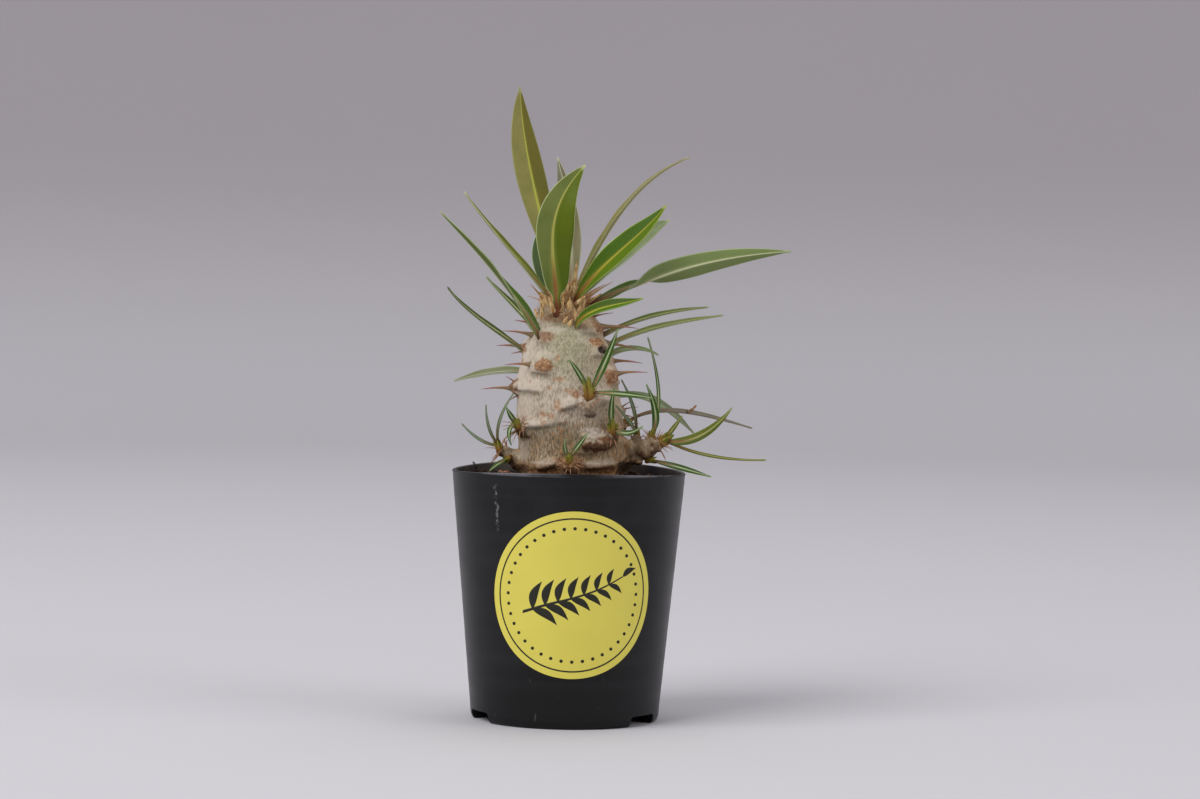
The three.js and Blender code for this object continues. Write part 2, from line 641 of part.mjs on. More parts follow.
// A side shoot as a tapering chain of round sections.
function shoot(chain, grow) {
  const curve = new THREE.CatmullRomCurve3(chain.map(vector));
  const rings = chain.map(([, , , radius], i) => {
    const share = i / (chain.length - 1);
    const along = curve.getTangent(share);
    const across = along.clone().cross(vector(SHOOT.sideways)).normalize();
    const other = along.clone().cross(across);
    return Array.from({ length: SHOOT.sides }, (_, side) => {
      const angle = (side / SHOOT.sides) * 2 * Math.PI;
      return vector(chain[i])
        .addScaledVector(across, Math.cos(angle) * (radius + grow))
        .addScaledVector(other, Math.sin(angle) * (radius + grow));
    });
  });
  const start = vector(chain[0]);
  const head = vector(chain.at(-1)).addScaledVector(curve.getTangent(1), SHOOT.headRise + grow);
  return skin(rings, start, head);
}

// The short spines round a shoot's head.
function shootSpines(chain, grow) {
  const head = vector(chain.at(-1));
  const radius = chain.at(-1)[3];
  const along = head.clone().sub(vector(chain.at(-2))).normalize();
  const across = along.clone().cross(vector(SHOOT_SPINE.sideways)).normalize();
  const other = along.clone().cross(across);
  const thick = SHOOT_SPINE.radius + TRIANGLE_GROWTH * grow;
  const list = [];
  for (let i = 0; i < SHOOT_SPINE.count; i++) {
    const angle = radians((i * 360) / SHOOT_SPINE.count + SHOOT_SPINE.firstTurn);
    const side = across.clone().multiplyScalar(Math.cos(angle));
    side.addScaledVector(other, Math.sin(angle));
    const climb = radians(SHOOT_SPINE.climb);
    const direction = side.clone().multiplyScalar(Math.cos(climb));
    direction.addScaledVector(along, Math.sin(climb));
    const root = head.clone().addScaledVector(along, -SHOOT_SPINE.sink);
    root.addScaledVector(side, radius * SHOOT_SPINE.rootShare);
    const tip = root.clone().addScaledVector(direction, SHOOT_SPINE.length + grow);
    list.push(rod(root, tip, thick, SHOOT_SPINE.tipRadius + grow, SPINE.sides));
  }
  return list;
}

// The trunk with its swellings, side shoots, crown cones and spines, grown all over by a
// clearance: with none it is the trunk, and with one it is what its neighbours are cut by.
function trunk(grow) {
  const rings = [];
  for (let row = 0; row <= TRUNK.rows; row++) {
    const ring = [];
    for (let side = 0; side < TRUNK.sides; side++) {
      ring.push(barkPoint((side * 360) / TRUNK.sides, row / TRUNK.rows, grow));
    }
    rings.push(ring);
  }
  const [footX, , footLevel] = TRUNK_OUTLINE[0];
  const [topX, , topLevel] = TRUNK_OUTLINE.at(-1);
  const foot = new THREE.Vector3(footX, 0, footLevel - TRUNK.footDrop - grow);
  const top = new THREE.Vector3(topX, 0, topLevel + TRUNK.topRise + grow);
  let made = skin(rings, foot, top);
  for (const chain of SHOOTS) {
    made = made.add(shoot(chain, grow));
    if (chain.length < 3) continue;
    for (const one of shootSpines(chain, grow)) made = made.add(one);
  }
  for (const [base, tip, radius] of CROWN_CONES) {
    const cone = rod(vector(base), vector(tip), radius + grow, CONE.tipRadius + grow, CONE.sides);
    made = made.add(cone);
  }
  for (const one of [...SPINES, ...backSpines()]) made = made.add(spine(one, grow));
  return largest(made);
}

// A midrib through four points, its second and third at a third and two thirds of the way.
function throughFour([start, second, third, end]) {
  const mix = (a, b, c, d) =>
    start.clone().multiplyScalar(a)
      .addScaledVector(second, b)
      .addScaledVector(third, c)
      .addScaledVector(end, d)
      .divideScalar(6);
  return new THREE.CubicBezierCurve3(start, mix(-5, 18, -9, 2), mix(2, -9, 18, -5), end);
}

// A midrib through three points, its second halfway.
function throughThree([start, middle, end]) {
  const bend = middle.clone().multiplyScalar(2);
  bend.addScaledVector(start, -0.5).addScaledVector(end, -0.5);
  return new THREE.QuadraticBezierCurve3(start, bend, end);
}

// The two directions of a leaf's cross-section at a share of its length.
function leafAxes(curve, share, facing) {
  const along = curve.getTangent(share);
  const face = facing.clone().addScaledVector(along, -facing.dot(along)).normalize();
  return { face, across: along.clone().cross(face) };
}

// A lance-shaped outline: narrow stalk, widest before the middle, long taper to the tip.
function leafWidth(share, widest, skew) {
  const lance = Math.sin(Math.PI * share ** skew);
  const stalk = LEAF.petiole * (1 - share);
  return Math.max(Math.max(0, lance) ** LEAF.fullness * widest, stalk, LEAF.tipWidth);
}

// One leaf of the crown: a blade folded a little upwards along a raised midrib.
function leaf({ midrib, width, base, tip, turn = 1, skew = LEAF.skew }) {
  const curve = throughFour(midrib.map(vector));
  const rings = [];
  for (let i = 0; i <= LEAF.stations; i++) {
    const share = i / LEAF.stations;
    const mix = THREE.MathUtils.smoothstep(share, 0, turn);
    const facing = vector(base).normalize().lerp(vector(tip).normalize(), mix);
    const { face, across } = leafAxes(curve, share, facing);
    const half = leafWidth(share, width, skew) / 2;
    const lift = half * LEAF.fold;
    const rib = LEAF.edge + (LEAF.rib - LEAF.edge) * (1 - share);
    const outer = LEAF.edge / 2;
    const outlinePoints = [
      [-half, lift + outer],
      [0, outer],
      [half, lift + outer],
      [half, lift - outer],
      [0, outer - rib],
      [-half, lift - outer],
    ];
    rings.push(
      outlinePoints.map(([side, rise]) =>
        curve.getPoint(share).addScaledVector(across, side).addScaledVector(face, rise),
      ),
    );
  }
  const { face } = leafAxes(curve, 1, vector(tip));
  const end = curve.getPoint(1).addScaledVector(curve.getTangent(1), LEAF.tipLength);
  end.addScaledVector(face, (LEAF.tipWidth / 2) * LEAF.fold);
  return skin(rings, curve.getPoint(0), end);
}

// A narrow blade of a side shoot, four-sided in section.
function blade(start, { path, width }) {
  const points = [start, ...path.map(vector)];
  const curve = points.length === 4 ? throughFour(points) : throughThree(points);
  const facing = vector(BLADE.facing);
  const rings = [];
  for (let i = 0; i <= BLADE.stations; i++) {
    const share = i / BLADE.stations;
    const { face, across } = leafAxes(curve, share, facing);
    const lance = Math.max(0, Math.sin(Math.PI * share ** BLADE.skew)) ** BLADE.fullness;
    const half = Math.max(lance * width, BLADE.root * (1 - share), BLADE.tipWidth) / 2;
    const rise = BLADE.thickness / 2;
    rings.push(
      [[-half, 0], [0, rise], [half, 0], [0, -rise]].map(([side, out]) =>
        curve.getPoint(share).addScaledVector(across, side).addScaledVector(face, out),
      ),
    );
  }
  const end = points.at(-1).clone().addScaledVector(curve.getTangent(1), BLADE.tipLength);
  return skin(rings, start, end);
}

// A bud with its blades, all joined in the bud.
function tuft({ head, bud, radius, blades }) {
  const foot = vector(head);
  const axis = vector(bud).sub(foot).normalize();
  const below = foot.clone().addScaledVector(axis, -TUFT.root);
  let made = rod(below, vector(bud), radius, TUFT.budTip, TUFT.sides);
  blades.forEach((one, i) => {
    const start = foot.clone().addScaledVector(axis, TUFT.firstBlade + i * TUFT.bladeStep);
    const leaning = vector(one.path[0]).sub(start).normalize();
    made = made.add(blade(start.addScaledVector(leaning, TUFT.bladeStep), one));
  });
  return made;
}

const plant = new THREE.Group();
const clearOfTrunk = trunk(GAP);
plant.add(mesh("pot", pot(), PLASTIC));
plant.add(mesh("label", label(), PAPER));
plant.add(mesh("soil", soil(clearOfTrunk), EARTH));
plant.add(mesh("trunk", trunk(0), BARK));
for (const [name, sizes] of Object.entries(LEAVES)) {
  plant.add(mesh(name, largest(leaf(sizes).subtract(clearOfTrunk)), LEAF_GREEN));
}
for (const [name, sizes] of Object.entries(TUFTS)) {
  plant.add(mesh(name, largest(tuft(sizes).subtract(clearOfTrunk)), LEAF_GREEN));
}

export default plant;
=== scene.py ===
"""A young Pachypodium cactipes in its black nursery pot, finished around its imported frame.

It is laid out as an add-on: property groups hold the sizes and colours, one operator makes each piece
or group of like pieces, and a panel in the sidebar lists them. The code counts in millimetres and turns
them to metres where a mesh is made. An azimuth is in degrees round the upright axis: 0 at the front,
which faces -Y, and 90 at the right.
"""

import math
import random
from functools import partial

import bmesh
import bpy
import numpy as np
from bpy.props import FloatProperty, FloatVectorProperty, IntProperty, PointerProperty
from mathutils import Matrix, Vector, noise


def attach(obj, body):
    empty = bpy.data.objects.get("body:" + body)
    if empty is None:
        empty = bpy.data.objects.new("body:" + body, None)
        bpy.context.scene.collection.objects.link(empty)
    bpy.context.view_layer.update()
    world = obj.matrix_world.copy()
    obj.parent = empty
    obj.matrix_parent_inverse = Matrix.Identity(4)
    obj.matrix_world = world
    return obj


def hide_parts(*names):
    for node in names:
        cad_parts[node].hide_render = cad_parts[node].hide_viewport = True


bl_info = {
    "name": "Potted pachypodium cactipes",
    "version": (1, 0, 0),
    "blender": (4, 5, 0),
    "location": "3D View > Sidebar > Pachypodium",
    "description": "Builds the finished surfaces of a potted pachypodium cactipes",
    "category": "Object",
}

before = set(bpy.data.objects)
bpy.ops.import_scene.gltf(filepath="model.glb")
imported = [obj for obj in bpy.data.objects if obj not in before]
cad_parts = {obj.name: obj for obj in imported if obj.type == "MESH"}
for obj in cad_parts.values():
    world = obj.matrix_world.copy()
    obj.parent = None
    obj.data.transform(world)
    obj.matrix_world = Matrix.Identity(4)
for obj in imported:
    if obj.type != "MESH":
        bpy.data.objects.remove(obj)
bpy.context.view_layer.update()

MM = 0.001
BODY = "root"
UP = np.array([0.0, 0.0, 1.0])
TAU = 2 * math.pi
# The turn in degrees from one leaf, bract or spine pair to the next, as on most plants.
GOLDEN_TURN = 137.5

# The pot, in millimetres.
POT = {
    "rim_radius": 42.5, "height": 91.0, "wall_foot_radius": 34.4, "foot_radius": 32.8, "corner_height": 3.0,
    "wall": 1.4, "saddle": 0.8, "plate_bottom": 4.0, "plate_top": 5.6, "inner_corner": 2.0,
    "foot_ring_inside": 30.4, "foot_ring_slope": 0.4, "pad_radius": 7.0,
}
# What only the finished pot has: a rounded lip with a shallow line below it, softened edges, faint waves
# up the wall, a torn stub of the runner on the rim, and a scuff on the left of the front.
POT_FINISH = {
    "sides": 216, "wall_rows": 60, "foot_edge": 0.15, "lip": 0.42, "inset": 0.04, "wave": 0.03,
    "line_below": 1.7, "line_depth": 0.14, "line_width": 0.35, "sharp_edge": 40,
}
STUB = {"azimuth": -122.0, "reach": 41.6, "levels": (88.6, 90.4, 91.5), "leans": (0, 0.2, -0.5),
        "radii": (0.8, 0.6, 0.35), "sides": 10}
SCUFF = {"azimuth": -37.5, "wall_radius": 41.5, "wander": 6.0, "core": 0.1, "edge": 0.9,
         "start": (68, 74), "end": (84, 88)}
NOTCH = {"azimuths": (-65, 57, 176), "width": 15.0, "height": 3.8, "corner": 1.6, "depth": 10.0, "inset": 3.0}
DRAIN = {"count": 6, "radius": 3.5, "ring_radius": 19.0}
LABEL = {"radius": 30.0, "azimuth": 4.0, "height": 48.6, "gap": 0.3, "thickness": 0.3}
# The print on the label: a ring, dots inside it, and a branch from left to right with pairs of leaves.
PRINT = {
    "sunk": 0.02, "proud": 0.03, "ring_inset": 2.6, "ring_width": 0.55, "dots": 40, "dot_reach": 23.9,
    "dot_radius": 0.62, "stem_start": 0.55, "stem_end": 0.25, "pairs": 7, "first_pair": 0.1,
    "pair_step": 0.125, "heading": 20, "leaf_angle": 52, "leaf_length": 10.5, "shorter": 0.75,
    "leaf_width": 3.1, "narrower": 0.2, "end_leaf": (5.4, 2.9), "end_width": 2.2,
}
PRINT_STEM = ((-18.0, -6.4, 0), (-9.0, -3.4, 0), (0.0, -0.9, 0), (9.0, 2.2, 0), (18.0, 6.6, 0))
SOIL = {"level": 86.8, "lump": 0.7, "rim_drop": 1.5, "gap": 0.3}
SOIL_TONES = ((0.0, "#1C1410"), (0.55, "#3A2A20"), (0.8, "#5A4232"), (0.9, "#9A6A4C"), (1.0, "#B58A70"))
# Loose grains: the least reach from the middle, sizes and squash as shares, how far they sink or stand out,
# how lumpy they are, and the azimuths where the photo shows more pink ones.
GRAINS = {"from": 19.8, "size": (0.45, 1.5), "lift": (-0.1, 0.5), "squash": (0.7, 1.2), "lumps": 0.28,
          "lump_size": 0.8, "pink": (60, 110), "seed": 11}
SOIL_WAVES = {"x": 11.4, "y": 13.1, "shift": 1.0, "slant": 0.6, "slant_x": 30.0, "slant_y": 19.0}

# The trunk's outline from the buried root to the crown: centre x, radius, height.
TRUNK_OUTLINE = (
    (1.0, 8.0, 65), (1.0, 13.5, 72), (1.0, 17.2, 82), (1.0, 18.5, 90.5), (0.7, 19.0, 99),
    (0.1, 19.4, 108), (-0.8, 18.7, 118.3), (-1.4, 17.4, 127), (-1.7, 14.7, 136.8),
    (-2.4, 10.6, 144.8), (-2.7, 8.2, 150), (-2.9, 5.6, 154), (-3.0, 2.0, 155.6),
)
# Swellings of the bark: azimuth, height, rise, half-width round the trunk, half-height.
SWELLINGS = (
    (-34, 129, 1.5, 4.0, 3.0), (-81, 120, 1.9, 4.0, 3.4), (58, 136, 1.6, 4.2, 3.2),
    (70, 127, 2.2, 4.6, 3.6), (-36, 141, 1.4, 3.6, 2.8), (-86, 135, 1.6, 3.6, 3.0),
    (72, 142.4, 2.2, 3.8, 3.0), (100, 144, 1.8, 3.4, 2.8), (-62, 149, 1.0, 3.0, 2.4),
    (-10, 147.5, 0.9, 3.6, 2.2), (23, 115, 1.8, 9.0, 3.6), (-62, 105.5, 1.6, 8.0, 3.4),
    (24, 100.5, 1.5, 5.0, 3.0), (52, 102, 1.8, 6.0, 3.4), (0, 93, 1.2, 16.0, 2.6),
    (-84, 93, 1.6, 8.0, 4.0), (90, 95, 2.2, 9.0, 5.0), (114, 112, 1.8, 4.5, 3.4),
)
UNDERSIDE = 0.6
BACK_SPIRAL = {
    "start": 92.0, "end": 147.0, "step": 2.3, "turn": GOLDEN_TURN, "keep_from": 134.0,
    "rise": 1.5, "half_width": 4.2, "half_height": 3.0,
}
# Spines: azimuth and height of the root, azimuth it points to, climb, length.
SPINES = (
    (-50, 128.9, -73, 0, 9.4), (-81, 119.8, -81, -1, 11.4), (-78, 122.2, -60, 30, 4.5),
    (-76, 117.4, -50, -25, 4.0), (-65, 139.4, -73, 8, 11.5), (-60, 142.8, -70, 14, 9.0),
    (-85, 135.0, -86, 3, 8.8), (-88, 133.2, -92, -10, 4.0), (84, 136.6, 96, -9, 12.0),
    (100, 130.2, 94, -2, 11.2), (69, 126.0, 77, 5, 11.4), (86, 142.6, 90, 0, 13.0),
    (96, 146.4, 92, 14, 7.0), (112, 112.4, 96, 12, 6.0), (114, 110.6, 110, -10, 5.5),
    (110, 113.4, 80, 35, 4.5), (70, 151.6, 78, 36, 13.4), (60, 152.4, 76, 34, 11.0),
    (-72, 151.4, -52, 46, 9.5), (-110, 151.0, -104, 22, 7.0), (150, 151.0, 150, 42, 11.0),
    (-150, 149.0, -150, 30, 10.5),
)
SPINE = {"stout": 1.75, "slim": 1.0, "stout_past": 7, "young_above": 149}
# Withered bits: the points of each, and its radius. A dried stalk hangs at the upper left shoot, and a
# curled scrap sticks to the long stalk behind on the right.
WITHERED = (
    (((-18.4, -12.6, 105.8), (-20.1, -13, 104.8), (-23.0, -13, 102.5), (-24.4, -13, 99.9)), 0.45),
    (((43.4, 25.0, 111.2), (45.2, 24.6, 112.4), (46.6, 24.8, 114.0)), 0.7),
)
BACK_SPINE = {"length": 10.0, "spread": 18.0, "climb": 6.0, "apart": 4.0}
# Tan cones of young growth in the crown: base, tip, radius.
CROWN_CONES = (
    ((-9.6, -2.5, 147), (-9.9, -4.4, 154), 2.1),
    ((-4.2, -5.5, 149), (-2.6, -6.0, 158), 2.3),
    ((-0.4, -1.5, 153), (1.4, -1.0, 166.5), 1.5),
    ((2.4, -5.0, 147), (4.6, -6.4, 153.5), 2.0),
    ((4.0, 2.5, 148), (6.2, 3.6, 155), 2.1),
    ((-4.0, 5.0, 150), (-4.4, 7.4, 157), 2.1),
)
# Woody side shoots, each a chain of x, y, z, radius.
SHOOTS = (
    ((6.3, -14.5, 112.6, 4.2), (7.2, -18.8, 115.4, 3.1), (7.1, -21, 118, 2.3)),
    ((13.0, -9.0, 100.6, 4.0), (15.2, -13.4, 103.4, 2.9), (15.6, -15.5, 105.5, 2.2)),
    ((14, 0, 93, 7.5), (19.6, -0.4, 96.0, 5.2), (24.4, -0.6, 98.0, 3.6), (27.6, -1.6, 98.8, 4.0),
     (30.4, -2.4, 100.2, 3.2), (33, -3, 101.4, 2.1)),
    ((28.2, -2.6, 99.6, 2.6), (29.6, -3, 103.2, 1.6)),
    ((23, 1.8, 98.5, 3.0), (24.4, 2.8, 103, 1.5)),
    ((-15.5, -2, 92.5, 4.6), (-19.5, -2.6, 94.6, 3.5), (-23, -3.2, 96.5, 2.5), (-25.2, -3.8, 98, 1.8)),
    ((-14, -7.4, 103.6, 3.8), (-17, -11, 105.5, 2.5), (-18.6, -13, 107, 1.8)),
    ((0.5, -16.5, 91.4, 4.2), (0.3, -20.4, 93.2, 3.2), (0.1, -22, 95, 2.3)),
    ((12.5, 9, 105, 4.4), (17.4, 12.2, 106.2, 2.8), (19.6, 13.6, 107.2, 2.0)),
)
# Lumps of cork on the shoots at the right: x, y, z, radius across, half-height.
LUMPS = (
    (21.9, -3.6, 98.6, 2.4, 4.0), (27.5, -4.6, 98.8, 2.5, 3.8), (19.6, -3.8, 101.6, 1.6, 1.8),
    (29.8, -4.6, 101.6, 1.6, 2.0), (24.6, 0.6, 101.8, 1.6, 2.0), (18.0, -6.4, 97.0, 1.8, 2.2),
    (24.8, -4.0, 94.2, 2.2, 1.4), (8.2, -16.4, 105.2, 1.7, 1.5), (10.4, -16.2, 103.6, 1.5, 1.3),
    (7.4, -17.2, 103.4, 1.2, 1.0), (9.2, -16.8, 106.4, 1.1, 1.0), (11.6, -14.8, 105.6, 1.5, 1.4),
)
# Leaves of the crown: four points on the midrib, the widest width, and the way the upper face looks at
# the base and the tip. A turn is the share of the length over which it changes, a skew moves the widest
# place towards the tip, and a lean is how much wider the right half is than the left at base and tip.
LEAVES = {
    "leaf_tall": {
        "midrib": ((-4.4, 3.2, 151.2), (-10.7, 7.9, 177.2), (-17.0, 10.4, 202.9), (-20.6, 9.0, 229.3)),
        "width": 10.8, "base": (0, -1, 0.1), "tip": (0.1, -1, 0.1), "skew": 1.3, "lean": (0.16, -0.24),
    },
    "leaf_rear": {
        "midrib": ((-2.3, 4.2, 151.2), (-0.7, 11.8, 168.9), (-2.3, 17.4, 186.7), (-6.5, 20.0, 204.2)),
        "width": 8.4, "base": (-0.2, -1, 0.2), "tip": (-0.4, -1, 0.2),
    },
    "leaf_broad": {
        "midrib": ((-5.3, -9.7, 146.6), (-7.1, -11.8, 167.0), (-6.2, -13.7, 183.8), (3.6, -9.0, 201.0)),
        "width": 13.8, "base": (0.15, -1, 0.1), "tip": (0.1, -1, 0.3), "skew": 0.98, "lean": (0.14, 0.04),
        "stalk": 3.1, "bare": 0.12, "shoulder": 0.42,
    },
    "leaf_blue_left": {
        "midrib": ((-7.9, 3.4, 146.6), (-9.0, 10.2, 157.7), (-11.6, 18.1, 168.0), (-11.9, 26.0, 178.5)),
        "width": 8, "base": (0.3, -1, 0.3), "tip": (-0.2, -1, 0.5), "skew": 1.1,
    },
    "leaf_green_right": {
        "midrib": ((0.4, -5.4, 150.7), (10.0, -12.3, 163.7), (21.6, -15.9, 174.8), (32.9, -15.0, 186.8)),
        "width": 9.6, "base": (-0.5, -0.8, 0.4), "tip": (-0.5, -0.9, 0.5), "skew": 1.0,
    },
    "leaf_grey_right": {
        "midrib": ((1.0, 2.8, 151.3), (11.1, 8.4, 162.7), (22.3, 12.7, 173.2), (34.9, 15.0, 182.0)),
        "width": 12.0, "base": (-0.6, -0.7, 0.5), "tip": (-0.3, -0.9, 0.5), "skew": 1.0,
        "lean": (-0.1, -0.12),
    },
    "leaf_arching": {
        "midrib": ((-0.1, 1.2, 152.4), (9.8, 4.7, 173.0), (23.2, 5.8, 192.0), (41.4, 5.0, 205.0)),
        "width": 6.4, "base": (-0.8, -0.2, 0.5), "tip": (-0.5, -0.1, 0.9), "skew": 0.8,
    },
    "leaf_long_right": {
        "midrib": ((4.0, -1.5, 149.3), (27.9, -4.8, 160.4), (52.2, -5.7, 167.8), (78.4, -4.0, 171.6)),
        "width": 8.6, "base": (-0.3, -0.75, 0.6), "tip": (0.1, 0.95, 0.2), "turn": 0.62,
    },
    "leaf_small_front": {
        "midrib": ((0.6, -9.0, 141.0), (6.7, -14.8, 148.1), (15.8, -19.7, 151.3), (25.0, -23.0, 153.7)),
        "width": 5.6, "base": (-0.4, -0.7, 0.6), "tip": (-0.2, -0.7, 0.7),
    },
    "leaf_right_upper": {
        "midrib": ((9.4, 1.4, 139.0), (22.8, 4.9, 144.8), (35.8, 8.0, 148.4), (49.3, 11.0, 150.5)),
        "width": 3.2, "base": (-0.3, -0.5, 0.8), "tip": (-0.1, -0.5, 0.9),
    },
    "leaf_right_middle": {
        "midrib": ((10.8, -1.0, 135.2), (24.8, -1.6, 141.1), (39.5, -0.1, 145.0), (54.6, 2.0, 147.8)),
        "width": 3.6, "base": (-0.3, -0.45, 0.8), "tip": (-0.1, -0.45, 0.9),
    },
    "leaf_right_lower": {
        "midrib": ((11.6, 5.6, 131.0), (17.9, 8.9, 134.0), (24.8, 11.3, 134.7), (31.6, 13.0, 132.8)),
        "width": 4, "base": (0, -0.4, 0.9), "tip": (0, -0.4, 0.9),
    },
    "leaf_left_upright": {
        "midrib": ((-6.9, -1.6, 151.2), (-17.8, -2.7, 164.5), (-29.1, -1.9, 177.3), (-39.7, 0.0, 190.6)),
        "width": 4.4, "base": (0.6, -0.5, 0.6), "tip": (0.6, -0.15, 0.7), "skew": 0.7,
    },
    "leaf_left_long": {
        "midrib": ((-10.0, -9.2, 135.8), (-20.6, -13.7, 153.1), (-33.6, -15.9, 168.6), (-47.5, -17.0, 183.2)),
        "width": 6.2, "base": (0.75, -0.8, 0.3), "tip": (0.6, 0.35, 0.7), "turn": 0.75, "skew": 0.62,
    },
    "leaf_left_short": {
        "midrib": ((-12.2, 3.0, 138.3), (-18.0, 6.9, 146.1), (-24.8, 9.8, 152.9), (-31.6, 12.0, 159.9)),
        "width": 3.3, "base": (0.5, -0.55, 0.7), "tip": (0.5, -0.5, 0.7),
    },
    "leaf_left_low": {
        "midrib": ((-14.5, -2.4, 131.9), (-25.3, -4.3, 139.4), (-36.3, -5.5, 147.3), (-44.9, -6.0, 156.0)),
        "width": 3.1, "base": (0.5, -0.5, 0.8), "tip": (0.5, -0.4, 0.8),
    },
    "leaf_left_behind": {
        "midrib": ((-13.2, 11.4, 125.6), (-23.4, 21.9, 125.2), (-33.7, 31.8, 123.5), (-43.8, 41.0, 120.7)),
        "width": 5.2, "base": (0.1, -0.6, 0.8), "tip": (0.0, -0.7, 0.7),
    },
    "leaf_right_behind": {
        "midrib": ((12.3, 11.2, 116.5), (25.2, 21.7, 116.8), (35.8, 28.6, 112.0), (45.8, 34.0, 103.2)),
        "width": 4.8, "base": (0, -0.6, 0.8), "tip": (0.3, -0.7, 0.6),
    },
    "leaf_back_high": {
        "midrib": ((-3.4, 6.8, 149.0), (-6.2, 20, 164), (-7.6, 34, 176), (-6.4, 46, 185)),
        "width": 10, "base": (0, -0.8, 0.7), "tip": (0, -0.6, 0.9),
    },
    "leaf_back_right": {
        "midrib": ((1.4, 9.2, 143.6), (3.4, 26, 150), (4.6, 43, 149), (4.6, 60, 142)),
        "width": 9, "base": (0.1, -0.3, 1), "tip": (0, 0.3, 1),
    },
    "leaf_back_left": {
        "midrib": ((-7.4, 10.2, 140.4), (-9.4, 26, 144.6), (-11.4, 41, 142), (-12.6, 55, 134)),
        "width": 8, "base": (-0.1, -0.3, 1), "tip": (-0.1, 0.3, 1),
    },
    "leaf_back_low": {
        "midrib": ((3.0, 14.6, 130), (5.4, 30, 136), (7.4, 44, 135), (8.6, 57, 128)),
        "width": 8, "base": (0, -0.3, 1), "tip": (0, 0.4, 1),
    },
}
LEAF = {"petiole": 2.4, "edge": 0.6, "rib": 1.3, "fold": 0.32, "tip_width": 0.9, "tip_length": 0.8,
        "skew": 0.86, "fullness": 0.8}
# What each leaf shows: its left and right half above, its lower face, its midrib, its margin.
# Where the two halves above differ, the difference is painted sheen and shade.
LEAF_TONES = {
    "leaf_tall": ("#948E51", "#6E6628", "#7C8055", "#B4B650", "#A5A87E"),
    "leaf_rear": ("#9A9A7E", "#8A8262", "#8C8C62", "#E0E3C2", "#CCD0B4"),
    "leaf_broad": ("#748040", "#566604", "#75835A", "#B0B058", "#BCC690"),
    "leaf_blue_left": ("#42542E", "#364820", "#6B7C5C", "#9DAE80", "#B4C8A6"),
    "leaf_green_right": ("#3E6000", "#567006", "#75835A", "#A29A34", "#A3B556"),
    "leaf_grey_right": ("#9AAA80", "#96A67A", "#8C9A74", "#A8B184", "#BCC8A0"),
    "leaf_arching": ("#8C8650", "#6A622C", "#95905C", "#B4B070", "#B2AE88"),
    "leaf_long_right": ("#3F5508", "#54661A", "#74834E", "#D0D2A6", "#A6B288"),
    "leaf_small_front": ("#3A5602", "#4C6E06", "#6E7B55", "#A4A63C", "#9AAE60"),
    "leaf_right_upper": ("#5E6C30", "#56622A", "#8A9268", "#B4B87C", "#98A074"),
    "leaf_right_middle": ("#78824A", "#66703A", "#8A9268", "#B2B478", "#A0A478"),
    "leaf_right_lower": ("#7B8B5A", "#70804F", "#8C9A74", "#AEBA8A", "#A2B084"),
    "leaf_left_upright": ("#747A26", "#6C7420", "#8A9268", "#ABAE66", "#B8BC90"),
    "leaf_left_long": ("#84944A", "#4A6A1A", "#566430", "#C0C494", "#A4AE80"),
    "leaf_left_short": ("#4C5C2C", "#485826", "#8A9268", "#C2C896", "#93A074"),
    "leaf_left_low": ("#4E5E2C", "#465624", "#8A9268", "#C6CC98", "#56643A"),
    "leaf_left_behind": ("#828266", "#7C7E5E", "#98A286", "#A4AE90", "#A6B092"),
    "leaf_right_behind": ("#7E8868", "#868F6E", "#98A286", "#A4AE88", "#A0AA84"),
    "leaf_back_high": ("#566E24", "#5C7428", "#7F8C60", "#A6AC64", "#AEBB8E"),
    "leaf_back_right": ("#4E6C18", "#56741E", "#7F8C60", "#A2AA58", "#A8B688"),
    "leaf_back_left": ("#5A742C", "#526C26", "#7F8C60", "#A8AE68", "#A8B688"),
    "leaf_back_low": ("#5E7836", "#567030", "#7F8C60", "#A8AE68", "#AEBB8E"),
}
